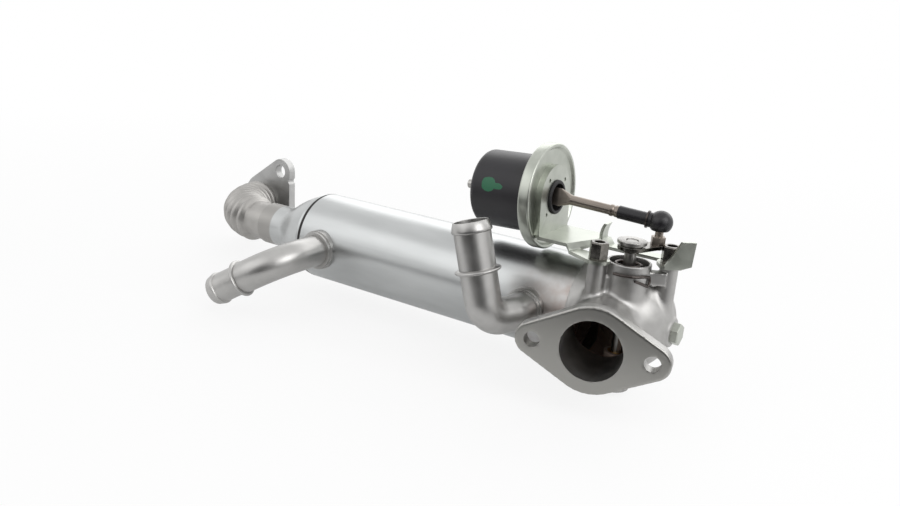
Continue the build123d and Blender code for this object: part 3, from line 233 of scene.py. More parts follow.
# %% Metal recipe
def metal(name, dark, light, rough, cloud, streak, fine, bump, stains=()):
    """Clouds of size cloud mm tint and blur the metal, grains of size fine mm are bump mm high."""

    def build(tree):
        share = clouds(tree, cloud, streak)
        ends = {0: share, 6: linear(dark), 7: linear(light)}
        tint = add(tree, "Mix", {"data_type": "RGBA", **ends}, 2)
        blur = add(tree, "MapRange", {"Value": share, "To Min": rough[0], "To Max": rough[1]})
        metallic = 1.0
        for place, colour, stain_rough, stain_metallic in stains:
            share = place(tree)
            ends = {0: share, 6: tint, 7: linear(colour)}
            tint = add(tree, "Mix", {"data_type": "RGBA", **ends}, 2)
            blur = add(tree, "MapRange", {"Value": share, "To Min": blur, "To Max": stain_rough})
            if stain_metallic < 1:
                ends = {"To Min": 1.0, "To Max": stain_metallic}
                metallic = add(tree, "MapRange", {"Value": share, **ends})
        grains = grain(tree, fine, streak, 2.0)
        relief = add(tree, "Bump", {"Height": grains, "Distance": bump * MM, "Strength": 1.0})
        skin = {"Base Color": tint, "Metallic": metallic, "Roughness": blur, "Normal": relief}
        return add(tree, "BsdfPrincipled", skin)

    return material(name, build)


# %% [markdown]
# ## Stains of the shell and of the casting
# Each stain is placed by a real feature. The outlet's face is milled, the ring between cone and
# shell is black from the burnt brazing and from painted shade of the groove there, the cone's neck
# is dull from the heat, the shell is browned near the valve, and hot gas covers all that it touches
# inside the casting with a brown oxide.

# %% Stains
DOME_X = 236.0
DOME_LENGTH = 34.0
DOME_RADIUS = 33.0
CAST_WALL = 3.5
SEAM_MIDDLE = -0.3
NECK_START = -45.0


def machined_face(tree):
    """Share of the outlet's face, which is the plane through the frame's origin."""
    out = position_along(tree, tuple(OUTLET_NORMAL))
    return add(tree, "MapRange", {"Value": out, "From Min": -0.6 * MM, "From Max": -0.2 * MM})


def along_shell(tree, middle):
    """Distance along the shell in metres, counted from a middle in mm from its inlet end."""
    start = to_frame((middle, 0, 0))[0]
    reached = position_along(tree, tuple(X))
    return add(tree, "Math", {"operation": "SUBTRACT", 0: reached, 1: start})


def braze_and_groove_shade(tree):
    """Share of the ring where cone meets shell, 2.6 mm wide: burnt braze and painted groove shade.
    """
    away = add(tree, "Math", {"operation": "ABSOLUTE", 0: along_shell(tree, SEAM_MIDDLE)})
    ends = {"From Min": 1.2 * MM, "From Max": 1.5 * MM, "To Min": 1.0, "To Max": 0.0}
    return add(tree, "MapRange", {"Value": away, **ends})


def dull_neck(tree):
    """Share of the cone's neck that was heated when the bellows was brazed on, with a soft edge."""
    ends = {"From Min": -0.6 * MM, "From Max": 0.4 * MM, "To Min": 1.0, "To Max": 0.0}
    return add(tree, "MapRange", {"Value": along_shell(tree, NECK_START), **ends})


def gas_side(tree):
    """Share of the inside of the casting: a cylinder that ends in half an ellipsoid."""
    place = add(tree, "TexCoord", {}, "Object")
    middle = tuple(to_frame((DOME_X, 0, 0)))
    offset = add(tree, "VectorMath", {"operation": "SUBTRACT", 0: place, 1: middle})
    ahead = add(tree, "VectorMath", {"operation": "MAXIMUM", 0: offset, 1: (0.0, -1.0, -1.0)})
    radius = DOME_RADIUS - CAST_WALL
    near = distance_in_radii(tree, ahead, (DOME_LENGTH - CAST_WALL, radius, radius))
    ends = {"From Min": 1.03, "From Max": 1.06, "To Min": 1.0, "To Max": 0.0}
    return add(tree, "MapRange", {"Value": near, **ends})


def heat_tint(tree):
    """Product of a share along the shell, one towards the outlet's side, and soft clouds."""
    ends = {"From Min": -75 * MM, "From Max": -35 * MM}
    near_valve = add(tree, "MapRange", {"Value": position_along(tree, tuple(X)), **ends})
    ends = {"From Min": -55 * MM, "From Max": -35 * MM, "To Max": 0.75}
    side = add(tree, "MapRange", {"Value": position_along(tree, tuple(-Y)), **ends})
    spots = add(tree, "MapRange", {"Value": clouds(tree, 9.0), "To Min": 0.2})
    spotted = add(tree, "Math", {"operation": "MULTIPLY", 0: side, 1: spots})
    return add(tree, "Math", {"operation": "MULTIPLY", 0: near_valve, 1: spotted})


# %% [markdown]
# The shell is rolled stainless sheet, brushed along, browned a little by the welding at the valve.
# The pipes are drawn and then blasted fine, and the bellows is duller from its forming and its
# annealing. The casting is blasted, and its outlet face is milled. The plated parts are steel
# under a few microns of zinc, whose clear passivation is faintly green and yellow. Each row gives
# two colours, the range of the roughness, the size of the clouds in mm, their stretch, and the
# size and height of the grains.

# %% Metals
ROLLED = (0.25, 1.0, 1.0)
FORGED = (0.2, 1.0, 1.0)
SHELL_STAINS = [
    (heat_tint, "#98847A", 0.36, 1.0),
    (dull_neck, "#A3A19E", 0.42, 1.0),
    # painted shade: the black seam ring paints the groove's shadow along with the burnt braze
    (braze_and_groove_shade, "#141110", 0.6, 0.0),
]
CAST_STAINS = [(machined_face, "#A3A29E", 0.34, 1.0), (gas_side, "#C2AEA2", 0.6, 0.0)]
SHELL_STEEL = ("#B6B8B8", "#C4C6C6", (0.28, 0.33), 14.0, ROLLED, 0.8, 0.001, SHELL_STAINS)
metal("satin_stainless_shell", *SHELL_STEEL)
metal("blasted_stainless_pipe", "#AEADAB", "#BCBBB9", (0.33, 0.39), 12.0, EVEN, 0.45, 0.0015)
metal("annealed_bellows_steel", "#A5A3A0", "#B4B2AF", (0.4, 0.47), 9.0, EVEN, 0.45, 0.004)
metal("laser_cut_flange_steel", "#ABABAA", "#BCBCBB", (0.38, 0.46), 9.0, EVEN, 0.5, 0.006)
metal("blasted_casting", "#A7A6A4", "#B9B8B6", (0.4, 0.48), 9.0, EVEN, 0.5, 0.012, CAST_STAINS)
metal("dull_inner_steel", "#7E7C79", "#93918D", (0.45, 0.55), 6.0, EVEN, 0.6, 0.01)
metal("zinc_plate", "#A8ACA3", "#BFC2BA", (0.28, 0.38), 12.0, EVEN, 0.6, 0.003)
metal("zinc_fastener", "#5F5C58", "#85827D", (0.18, 0.26), 3.0, EVEN, 0.5, 0.004)
metal("bright_turned_steel", "#A5A3A0", "#B8B6B3", (0.28, 0.36), 4.0, EVEN, 0.5, 0.002)
metal("forged_rod_steel", "#877E77", "#A1988F", (0.32, 0.42), 5.0, FORGED, 0.5, 0.006)
metal("blued_spring_wire", "#4B4644", "#5F5956", (0.3, 0.4), 3.0, EVEN, 0.5, 0.002)
metal("bearing_brass", "#B08D4F", "#C2A062", (0.3, 0.4), 4.0, EVEN, 0.5, 0.003)

# %% [markdown]
# ## Paint, plastic, rubber and oxide
# These are not mirrors: they have their own colour under a clear, weak gloss. The can is black
# paint with a soft sheen and a green dab from its inspection, the ball socket is glass-filled
# nylon, and the boot and the diaphragm are rubber, which is rougher. The braze at the shell's end
# is burnt black, and that black also paints the shade of the groove there. The flap has lain in hot
# gas, so a brown oxide hides its steel.


# %% Coated recipe
def coated(name, dark, light, rough, index, cloud, fine, bump, mark=None):
    """As for the metals, but the colour lies under a gloss of the given index."""

    def build(tree):
        share = clouds(tree, cloud)
        ends = {0: share, 6: linear(dark), 7: linear(light)}
        tint = add(tree, "Mix", {"data_type": "RGBA", **ends}, 2)
        if mark:
            ends = {0: mark[0](tree), 6: tint, 7: linear(mark[1])}
            tint = add(tree, "Mix", {"data_type": "RGBA", **ends}, 2)
        blur = add(tree, "MapRange", {"Value": share, "To Min": rough[0], "To Max": rough[1]})
        grains = grain(tree, fine)
        relief = add(tree, "Bump", {"Height": grains, "Distance": bump * MM, "Strength": 1.0})
        skin = {"Base Color": tint, "IOR": index, "Roughness": blur, "Normal": relief}
        return add(tree, "BsdfPrincipled", skin)

    return material(name, build)


def dab(tree, centre, radii):
    """Distance from a dab's centre in mm from the shell's inlet end, counted in its three radii."""
    place = add(tree, "TexCoord", {}, "Object")
    middle = tuple(to_frame(centre))
    offset = add(tree, "VectorMath", {"operation": "SUBTRACT", 0: place, 1: middle})
    return distance_in_radii(tree, offset, radii)


def brushed_mark(tree):
    """Share of the green inspection mark: a round dab and a short tail, with a ragged edge."""
    head = dab(tree, (153.5, -29.2, 71.4), (5.0, 5.0, 4.6))
    tail = dab(tree, (159.4, -29.2, 71.2), (4.2, 5.0, 1.9))
    near = add(tree, "Math", {"operation": "MINIMUM", 0: head, 1: tail})
    ragged = {"operation": "MULTIPLY_ADD", 0: grain(tree, 1.6), 1: 0.35, 2: near}
    ends = {"From Min": 1.1, "From Max": 1.2, "To Min": 1.0, "To Max": 0.0}
    return add(tree, "MapRange", {"Value": add(tree, "Math", ragged), **ends})


# %% Paint, plastic, rubber and oxide
GREEN = (brushed_mark, "#246B4A")
coated("satin_black_paint", "#151318", "#1E1C22", (0.4, 0.48), 1.5, 20.0, 0.9, 0.006, GREEN)
coated("glass_filled_nylon", "#151418", "#1D1C20", (0.34, 0.44), 1.53, 6.0, 0.4, 0.006)
coated("black_rubber", "#151416", "#1E1D1F", (0.55, 0.68), 1.52, 6.0, 0.5, 0.01)
# painted shade: this black stands for the burnt braze and for the shade of the groove at the
# shell's end
coated("braze_and_painted_shade", "#15110F", "#1E1917", (0.5, 0.65), 1.5, 3.0, 0.5, 0.02)
coated("hot_gas_oxide", "#9A887C", "#B09E92", (0.5, 0.62), 1.5, 5.0, 0.5, 0.01)
print("materials:", len(MATERIALS))

# %% [markdown]
# ## Finish of each part
# Each node of the CAD model gets its real finish here. Some keep their own mesh, mostly those that
# lie inside; the pieces made further down take the place of the others, and their finish too.

# %% Finish of each CAD node
FINISH = {
    "satin_stainless_shell": "shell_tube inlet_cone",
    "blasted_stainless_pipe": (
        "coolant_pipe_left coolant_pipe_right pipe_collar_left pipe_collar_right"
    ),
    "annealed_bellows_steel": "bellows_pipe",
    "laser_cut_flange_steel": "exhaust_flange",
    # painted shade: the ring at the shell's end is black for its braze and for the groove's shadow
    "braze_and_painted_shade": "tube_plate_left",
    "dull_inner_steel": "baffles piston_cup",
    "blasted_casting": "valve_housing",
    "zinc_plate": "bracket actuator_cover plug_screw",
    "zinc_fastener": "post_studs post_nuts lever lever_washer",
    "bright_turned_steel": "flap_shaft lever_disc top_disc vacuum_nipple",
    "forged_rod_steel": "pull_rod rod_ferrule ball_stud",
    "blued_spring_wire": "torsion_spring boss_clip return_spring socket_clip",
    "hot_gas_oxide": "flap_plate tube_plate_right gas_tubes bypass_tube",
    "bearing_brass": "bush_upper bush_lower",
    "satin_black_paint": "actuator_can",
    "glass_filled_nylon": "ball_socket rod_sleeve",
    "black_rubber": "rod_boot diaphragm",
}
FINISH_OF = {name: MATERIALS[finish] for finish, names in FINISH.items() for name in names.split()}
for name, finish in FINISH_OF.items():
    node = frame["nodes"][name]
    node.data.materials.clear()
    node.data.materials.append(finish)
print("nodes without a finish:", sorted(set(frame["nodes"]) - set(FINISH_OF)))

# %% [markdown]
# ## Surfaces from arrays
# Turned and bent parts are circles carried along a path. A grid holds all their points: one row
# for each circle, one column for each step round it. The profile is a closed loop that goes along
# the outside and comes back on the inside, so the piece has a real wall and its surface closes on
# itself.


# %% Helpers for surfaces
SHARP_FROM = radians(38)


def put_mesh(name, points, faces, node):
    """Make an object of points in mm and of faces, one row of indices each, facing outwards."""
    mesh = bpy.data.meshes.new(name)
    mesh.vertices.add(len(points))
    mesh.vertices.foreach_set("co", to_frame(points).astype(np.float32).ravel())
    mesh.loops.add(faces.size)
    mesh.loops.foreach_set("vertex_index", faces.astype(np.int32).ravel())
    mesh.polygons.add(len(faces))
    starts = np.arange(len(faces)) * faces.shape[1]
    mesh.polygons.foreach_set("loop_start", starts.astype(np.int32))
    mesh.update(calc_edges=True)
    close_mesh(mesh)
    return put_object(mesh, node)


def put_grid(name, grid, node):
    """Make an object of a closed grid of rings: each row joins the next, the last the first."""
    return put_mesh(name, grid.reshape(-1, 3), ring_faces(len(grid), grid.shape[1]), node)


def close_mesh(mesh):
    """Join points at one place, as at a pole, and turn all faces outwards."""
    work = bmesh.new()
    work.from_mesh(mesh)
    bmesh.ops.remove_doubles(work, verts=work.verts, dist=1e-6)
    bmesh.ops.recalc_face_normals(work, faces=work.faces)
    work.to_mesh(mesh)
    work.free()


def put_object(mesh, node):
    """Show a mesh in place of a CAD node, with the finish, the slot and the body of that node."""
    mesh.polygons.foreach_set("use_smooth", np.ones(len(mesh.polygons), bool))
    mesh.set_sharp_from_angle(angle=SHARP_FROM)
    mesh.materials.append(FINISH_OF[node])
    piece = bpy.data.objects.new(mesh.name, mesh)
    bpy.context.scene.collection.objects.link(piece)
    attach(piece, frame["nodes"][node]["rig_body"])
    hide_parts(node)
    print(f"{mesh.name}: {len(mesh.polygons)} faces")
    return piece


def ring_faces(rows, columns):
    """Quad (i, j) joins steps j and j + 1 of rings i and i + 1, counted round in both ways."""
    row, column = np.arange(rows)[:, None], np.arange(columns)[None, :]
    after, beside = (row + 1) % rows * columns, (column + 1) % columns
    row = row * columns
    quads = [row + column, row + beside, after + beside, after + column]
    return np.stack(quads, -1).reshape(-1, 4)


def rings(centres, radii, side, other, columns=96):
    """Point (i, j) = centre i + radius i x (cos of turn j x side i + sin of turn j x other i)."""
    turns = np.linspace(0, 2 * np.pi, columns, endpoint=False)[None, :, None]
    side = np.broadcast_to(side, np.shape(centres))[:, None]
    other = np.broadcast_to(other, np.shape(centres))[:, None]
    around = np.cos(turns) * side + np.sin(turns) * other
    return np.asarray(centres)[:, None] + np.asarray(radii, float)[:, None, None] * around


def rounded(points, radius, steps=6, closed=False):
    """Each corner C between unit directions u and v becomes an arc of the radius, or of what fits.

    With b half the angle between u and v, the arc starts at C + u x radius / tan b, its centre is
    C + (u + v) / |u + v| x radius / sin b, and its points turn evenly about that centre.
    """
    points = np.asarray(points, float)
    corner = points if closed else points[1:-1]
    before = np.roll(points, 1, 0) if closed else points[:-2]
    after = np.roll(points, -1, 0) if closed else points[2:]
    reach_in = np.linalg.norm(before - corner, axis=1, keepdims=True)
    reach_out = np.linalg.norm(after - corner, axis=1, keepdims=True)
    u = (before - corner) / reach_in
    v = (after - corner) / reach_out
    half = np.arccos(np.clip((u * v).sum(1, keepdims=True), -1, 1)) / 2
    half = np.minimum(half, np.pi / 2 - 1e-4)
    fits = 0.49 * np.minimum(reach_in, reach_out) * np.tan(half)
    size = np.minimum(np.reshape(radius, (-1, 1)) * np.ones_like(fits), fits)
    centre = corner + (u + v) / np.linalg.norm(u + v, axis=1, keepdims=True) * size / np.sin(half)
    first = corner + u * size / np.tan(half) - centre
    last = corner + v * size / np.tan(half) - centre
    sweep = (np.pi - 2 * half)[:, None]
    share = np.linspace(0, 1, steps)[None, :, None]
    arcs = centre[:, None] + (
        np.sin((1 - share) * sweep) * first[:, None] + np.sin(share * sweep) * last[:, None]
    ) / np.sin(sweep)
    arcs = arcs.reshape(-1, points.shape[1])
    return arcs if closed else np.vstack([points[:1], arcs, points[-1:]])


def along(path, distances, reference):
    """Centres at distances along a path, and two directions across it, the first near reference."""
    path = np.asarray(path, float)
    run = np.diff(path, axis=0)
    length = np.linalg.norm(run, axis=1)
    reached = np.concatenate([[0], np.cumsum(length)])
    run = run / length[:, None]
    heading = np.vstack([run[:1], run[:-1] + run[1:], run[-1:]])
    centres = np.stack([np.interp(distances, reached, path[:, i]) for i in range(3)], -1)
    ahead = np.stack([np.interp(distances, reached, heading[:, i]) for i in range(3)], -1)
    ahead /= np.linalg.norm(ahead, axis=1, keepdims=True)
    side = reference - (ahead @ reference)[:, None] * ahead
    side /= np.linalg.norm(side, axis=1, keepdims=True)
    return centres, side, np.cross(ahead, side)


def path_length(path):
    """Distance reached at each point of a path."""
    return np.concatenate([[0], np.cumsum(np.linalg.norm(np.diff(path, axis=0), axis=1))])


# %% [markdown]
# ## The inlet bellows
# The real bellows is a thin stainless tube, hydroformed into nine folds so that it can bend and
# take up the heat stretch of the engine. A stack of circles along a quarter turn gives it: the
# radius swells once for each fold, with wide rounded crests and narrow roots, and the same circles
# drawn in by the wall's thickness come back as the inside.

# %% Bellows
NECK_DROP = 2.3
CUFF_RADIUS = 14.8
CUFF_START = -50.0
BEND_X = -70.0
BEND_RADIUS = 45.5
CREST_RADIUS = 18.1
FOLDS = 9
EDGE_TURN = 4.0
CREST_POWER = 0.62
BELLOWS_WALL = 0.8
TAIL_END = 52.0


def bellows_rings(inset, steps=18):
    """Radius = root + (crest - root) x (half of 1 - cos of the fold's phase) to CREST_POWER."""
    turn = np.linspace(0, 90, FOLDS * steps + 1)
    phase = np.clip((turn - EDGE_TURN) / (90 - 2 * EDGE_TURN), 0, 1) * FOLDS
    swell = (0.5 - 0.5 * np.cos(2 * np.pi * phase)) ** CREST_POWER
    angle = np.radians(turn)
    reach, drop = BEND_X - BEND_RADIUS * np.sin(angle), np.full_like(angle, -NECK_DROP)
    bend = np.stack([reach, BEND_RADIUS * (1 - np.cos(angle)), drop], -1)
    start, end = (CUFF_START, 0, -NECK_DROP), (BEND_X - BEND_RADIUS, TAIL_END, -NECK_DROP)
    centres = np.vstack([start, bend, end])
    radii = np.concatenate([[0], (CREST_RADIUS - CUFF_RADIUS) * swell, [0]]) + CUFF_RADIUS - inset
    ends = np.concatenate([[0], angle, [np.pi / 2]])
    side = np.stack([np.sin(ends), np.cos(ends), np.zeros_like(ends)], -1)
    return rings(centres, radii, side, Z)


outside, inside = bellows_rings(0), bellows_rings(BELLOWS_WALL)[::-1]
put_grid("bellows", np.vstack([outside, inside]), "bellows_pipe")

# %% [markdown]
# ## The coolant pipes
# Both pipes are bent steel tube. Near the end a bead is rolled up, which stops the hose, and the
# mouth is swaged into a low barb, which holds it under its clamp. The same carried circles make
# them: the path has straight runs and true arcs, and the radius only changes at the bead and at
# the barb.

# %% Coolant pipes
PIPE_RADIUS = 11.0
PIPE_WALL = 1.2
PIPE_START = -28.315
BEAD_LENGTH = 2.6
BEAD_GAP = 0.5
BARB_SETBACK = 5.8
BARB = [(-0.8, 0.0), (-0.3, 0.8), (0.3, 1.0), (1.2, 0.9)]
MOUTH = [(-0.4, -0.2), (-0.1, -0.45), (0.0, -0.8), (-0.2, -PIPE_WALL)]


def hose_pipe(name, points, bends, tail_radius, tail, bead_rise, node):
    """A tube along rounded runs; its outline of (distance, radius) ends in bead, tail and barb.

    BARB and MOUTH hold the distance from the barb or from the end, and the rise over the tail.
    """
    points = np.asarray(points, float)
    ahead = points[-1] - points[-2]
    ahead /= np.linalg.norm(ahead)
    path = rounded(np.vstack([points[:-1], points[-1] + ahead * tail]), bends, 24)
    reached = path_length(path)
    end = reached[-1]
    bead, barb = end - tail, end - BARB_SETBACK
    plain = reached[reached < bead - BEAD_GAP]
    arc = np.linspace(0, np.pi, 12)
    bead_radii = np.maximum(np.linspace(PIPE_RADIUS, tail_radius, 12), PIPE_RADIUS)
    bead_places = bead + BEAD_LENGTH / 2 * (1 - np.cos(arc))
    outline = [(s, PIPE_RADIUS) for s in plain]
    outline += list(zip(bead_places, bead_radii + bead_rise * np.sin(arc)))
    outline += [(bead + BEAD_LENGTH + 0.2, tail_radius)]
    outline += [(barb + s, tail_radius + rise) for s, rise in BARB]
    outline += [(end + s, tail_radius + rise) for s, rise in MOUTH]
    outline += [(bead + BEAD_LENGTH, tail_radius - PIPE_WALL)]
    outline += [(s, PIPE_RADIUS - PIPE_WALL) for s in plain[::-1]]
    profile = np.array(outline)
    centres, side, other = along(path, profile[:, 0], X)
    put_grid(name, rings(centres, profile[:, 1], side, other), node)


hose_pipe(
    "coolant_outlet_pipe",
    [(20.5, PIPE_START, 0), (20.5, -73.6, 0), (-3.518, -80.806, -15.156)],
    bends=[33.0],
    tail_radius=10.4,
    tail=25.5,
    bead_rise=2.0,
    node="coolant_pipe_left",
)
hose_pipe(
    "coolant_inlet_pipe",
    [(187.6, PIPE_START, 1.2), (187.6, -44.25, 1.2), (179.4, -64.0, 1.2), (171.91, -64.0, 27.66)],
    bends=[14.0, 15.0],
    tail_radius=11.0,
    tail=30.2,
    bead_rise=2.7,
    node="coolant_pipe_right",
)

# %% [markdown]
# ## The vacuum actuator
# The can is drawn from one disc of sheet and painted black. A plated cover closes it, and its rim
# is rolled over the can's flange all the way round. Both are turned shapes on the actuator's axis,
# which leans up a little. Their profiles are outlines with rounded corners.

# %% Actuator can and cover
LEAN = radians(2.5)
ACTUATOR_START = np.array([186.3, -6.5, 66.4])
ACTUATOR_AHEAD = np.array([cos(LEAN), 0, sin(LEAN)])
ACTUATOR_UP = np.array([-sin(LEAN), 0, cos(LEAN)])


def turned(name, outline, rounds, node):
    """Turn a closed outline of (distance, radius) about the actuator's axis, corners rounded."""
    outline = rounded(outline, rounds, closed=True)
    centres = ACTUATOR_START + outline[:, :1] * ACTUATOR_AHEAD
    put_grid(name, rings(centres, outline[:, 1], Y, ACTUATOR_UP, 160), node)


CAN = [
    (-46.5, 2.6), (-46.5, 24.0), (-6.3, 24.0), (-6.3, 31.4),
    (-5.1, 31.4), (-5.1, 22.5), (-45.0, 22.5), (-45.0, 2.6),
]
CAN_ROUNDS = [0.2, 4.0, 1.5, 0.3, 0.3, 1.5, 3.0, 0.2]
COVER = [
    (-2.0, 10.0), (-2.0, 28.9), (0.0, 30.5), (0.0, 32.5), (-7.5, 32.5), (-7.5, 29.4),
    (-6.3, 29.4), (-6.3, 31.4), (-3.5, 31.4), (-3.5, 10.0),
]
COVER_ROUNDS = [0.3, 1.2, 0.6, 1.2, 2.2, 0.5, 0.3, 0.4, 0.3, 0.3]
turned("actuator_can_painted", CAN, CAN_ROUNDS, "actuator_can")
turned("actuator_cover_rolled", COVER, COVER_ROUNDS, "actuator_cover")

# %% [markdown]
# ## Solid shapes from distances
# A casting has no sharp inner corner, because metal fills the corners of the mould. A field of
# distances gives that: each simple body has a function that is the distance to its surface,
# negative inside. The smaller of two distances joins two bodies, the larger one cuts, and where
# both are near, rounding that choice leaves a fillet.


# %% Distances of simple bodies
def joined(first, second, reach):
    """Smaller distance, less (reach - difference) squared / (4 reach) where they differ by less."""
    share = np.maximum(reach - np.abs(first - second), 0) / reach
    return np.minimum(first, second) - share * share * reach / 4


def edged(first, second, edge):
    """Larger distance, with an arc of the edge's radius where both surfaces meet."""
    out = np.hypot(np.maximum(first + edge, 0), np.maximum(second + edge, 0))
    return np.minimum(np.maximum(first, second) + edge, 0) + out - edge


def bar(p, start, end, radius, edge=0.0):
    """Distance to a round bar between two points."""
    start, end = np.asarray(start, float), np.asarray(end, float)
    length = np.linalg.norm(end - start)
    offset = p - start
    reached = offset @ ((end - start) / length)
    side = np.sqrt(np.maximum((offset * offset).sum(-1) - reached**2, 0)) - radius
    return edged(side, np.abs(reached - length / 2) - length / 2, edge)


def block(p, centre, run, half, edge=0.0):
    """Distance to an upright block whose length goes along run, from its half sizes."""
    run = np.array([*run, 0.0]) / np.hypot(*run)
    offset = p - np.asarray(centre, float)
    length = np.abs(offset @ run) - half[0]
    width = np.abs(offset @ np.cross(Z, run)) - half[1]
    return edged(edged(length, width, edge), np.abs(offset[..., 2]) - half[2], edge)


def domed(p, start, middle, length, radius):
    """Distance to a round body on X whose end past the middle is half an ellipsoid."""
    r = np.hypot(p[..., 1], p[..., 2])
    x = np.maximum(p[..., 0] - middle, 0)
    near = np.hypot(x / length, r / radius)
    steep = np.maximum(np.hypot(x / length**2, r / radius**2), 1e-9)
    return np.maximum(np.where(x > 0, near * (near - 1) / steep, r - radius), start - p[..., 0])


# %% [markdown]
# The surface is where the joined distance is zero. A grid of small cells finds it. Every grid edge
# whose ends lie on different sides gives a point on the surface and, from the slope of the field,
# its normal. Each crossed cell gets one point, where the planes of its crossings meet, so that
# edges stay crisp, and each crossed edge gets one quad between the four cells round it.


# %% Surface of a field
PULL = 0.03


def crossings_of(field, values, low, cell, axis):
    """Crossed grid edges of one axis: start, point, unit normal, and whether it starts inside."""
    step = np.eye(3, dtype=int)
    here, ahead = np.moveaxis(values, axis, 0)[:-1], np.moveaxis(values, axis, 0)[1:]
    start = np.argwhere(np.moveaxis((here < 0) != (ahead < 0), 0, axis))
    first, second = values[tuple(start.T)], values[tuple((start + step[axis]).T)]
    points = low + cell * (start + (first / (first - second))[:, None] * step[axis])
    tiny = 0.05 * cell
    rises = [field(points + tiny * side) - field(points - tiny * side) for side in step]
    slope = np.stack(rises, -1)
    steep = np.maximum(np.linalg.norm(slope, axis=1, keepdims=True), 1e-9)
    return start, points, slope / steep, first < 0


def meeting_points(number, q, n):
    """Each cell's point p solves the sum over its crossings of n (n . p) = n (n . q).

    A small pull of PULL to the mean of the crossings keeps p near them where the planes are alike.
    """
    products = (n[:, :, None] * n[:, None]).reshape(-1, 9)
    terms = np.hstack([products, n * (n * q).sum(1, keepdims=True), q, np.ones((len(q), 1))])
    cells = number.max() + 1
    sums = np.zeros((cells, terms.shape[1]))
    for corner in number.T:
        sums += np.stack([np.bincount(corner, term, cells) for term in terms.T], -1)
    count = sums[:, 15:]
    middle = sums[:, 12:15] / count
    matrix = sums[:, :9].reshape(-1, 3, 3)
    rest = sums[:, 9:12] - np.einsum("nij,nj->ni", matrix, middle)
    matrix = matrix + PULL * count[:, :, None] * np.eye(3)
    return middle + np.linalg.solve(matrix, rest[..., None])[..., 0]


def surface_of(field, low, high, cell):
    """Points and quads of the zero surface of a field between two corners, on cells of one size."""
    low = np.asarray(low, float)
    shape = np.ceil((np.asarray(high) - low) / cell).astype(int) + 1
    axes = [low[i] + cell * np.arange(shape[i]) for i in range(3)]
    values = field(np.stack(np.meshgrid(*axes, indexing="ij"), -1))
    stride = np.array([shape[1] * shape[2], shape[2], 1])
    quads, places, normals = [], [], []
    for axis in range(3):
        start, q, n, inside = crossings_of(field, values, low, cell, axis)
        one, other = stride[(axis + 1) % 3], stride[(axis + 2) % 3]
        around = (start @ stride)[:, None] - np.array([0, one, one + other, other])
        quads.append(np.where(inside[:, None], around, around[:, ::-1]))
        places.append(q)
        normals.append(n)
    quads = np.vstack(quads)
    used, number = np.unique(quads, return_inverse=True)
    number = number.reshape(quads.shape)
    corner = low + cell * np.stack(np.unravel_index(used, shape), -1)
    points = meeting_points(number, np.vstack(places), np.vstack(normals))
    return np.clip(points, corner, corner + cell), number


# %% [markdown]
# ## The valve casting
# The casting is cast round cores and blasted, and only its outlet face, its holes and the shaft's
# bore are machined. Its dome takes the shell's end, a wide neck leads to the outlet flange, and
# the shaft's boss, the two posts, the plug's seat and the flap's wall all grow out of it with
# fillets.

# %% Places in the casting
SHAFT = np.array([243.0, -15.0])
LEFT_POST, RIGHT_POST = np.array([228.9, -28.3]), np.array([262.9, -3.4])
CAST_START = 214.0
SHELL_END = 218.0
BORE_RADIUS = 17.5
DUCT_RADIUS = 21.0
FLANGE_THICK = 8.0
FLANGE_EDGE = 1.2
FLANGE_RADIUS = 25.5
LOBE_RADIUS = 10.0
BOLT_REACH = 33.2
BOLT_RADIUS = 4.5


def dome(p, start, inset):
    """Distance to the dome's body, made smaller all round by an inset."""
    return domed(p, start, DOME_X, DOME_LENGTH - inset, DOME_RADIUS - inset)


def upright_bar(p, spot, low, high, radius, edge=0.0):
    """Distance to an upright round bar over a spot."""
    return bar(p, (*spot, low), (*spot, high), radius, edge)


def outlet_bar(p, reach, inner, outer, radius):
    """Distance to a round bar square to the outlet's face, at a reach from its middle."""
    centre = OUTLET + reach * OUTLET_ACROSS
    return bar(p, centre + inner * OUTLET_NORMAL, centre + outer * OUTLET_NORMAL, radius)


# %% [markdown]
# The outlet flange is a plate whose outline goes tightly round three circles: a large one in the
# middle and a lobe round each bolt hole. Inside the casting stands the wall that the flap closes.
# It has a window for the gas that has gone through the cooler, and a hole for the by-pass tube.


# %% Outlet flange and inner wall
def outlet_flange(p):
    """Distance to a plate round a middle circle and two lobes, joined by their tangents."""
    offset = p - OUTLET
    reach, up = np.abs(offset @ OUTLET_ACROSS), np.abs(offset[..., 2])
    slope = (FLANGE_RADIUS - LOBE_RADIUS) / BOLT_REACH
    level = (1 - slope**2) ** 0.5
    reached = reach * level - up * slope
    middle = np.hypot(reach, up) - FLANGE_RADIUS
    lobe = np.hypot(reach - BOLT_REACH, up) - LOBE_RADIUS
    side = reach * slope + up * level - FLANGE_RADIUS
    outer = np.where(reached > BOLT_REACH * level, lobe, side)
    outline = np.where(reached < 0, middle, outer)
    depth = np.abs(offset @ OUTLET_NORMAL + FLANGE_THICK / 2) - FLANGE_THICK / 2
    return edged(outline, depth, FLANGE_EDGE)


WALL_TURN = radians(130)
WALL_RUN = np.array([cos(WALL_TURN), sin(WALL_TURN)])
WALL_SIDE = np.array([-WALL_RUN[1], WALL_RUN[0]])
WALL_MIDDLE = SHAFT - 3.1 * WALL_SIDE
WALL_THICK = 3.0
WINDOW_REACH = 18.0
WINDOW_HALF = (10.5, 6.0, 11.0)
WINDOW_ROUND = 3.0
BYPASS_Y = 20.25
BYPASS_RADIUS = 8.5


def flap_wall(p):
    """Distance to the inner wall: a plate cut to the dome, less its window and its hole."""
    wall = block(p, (*WALL_MIDDLE, 0), WALL_RUN, (66, WALL_THICK / 2, 50))
    wall = np.maximum(wall, dome(p, SHELL_END, CAST_WALL / 2))
    spot = WALL_MIDDLE + WINDOW_REACH * WALL_RUN
    window = block(p, (*spot, 0), WALL_RUN, WINDOW_HALF, WINDOW_ROUND)
    hole = bar(p, (202, BYPASS_Y, 0), (DOME_X, BYPASS_Y, 0), BYPASS_RADIUS)
    return np.maximum(np.maximum(wall, -window), -hole)


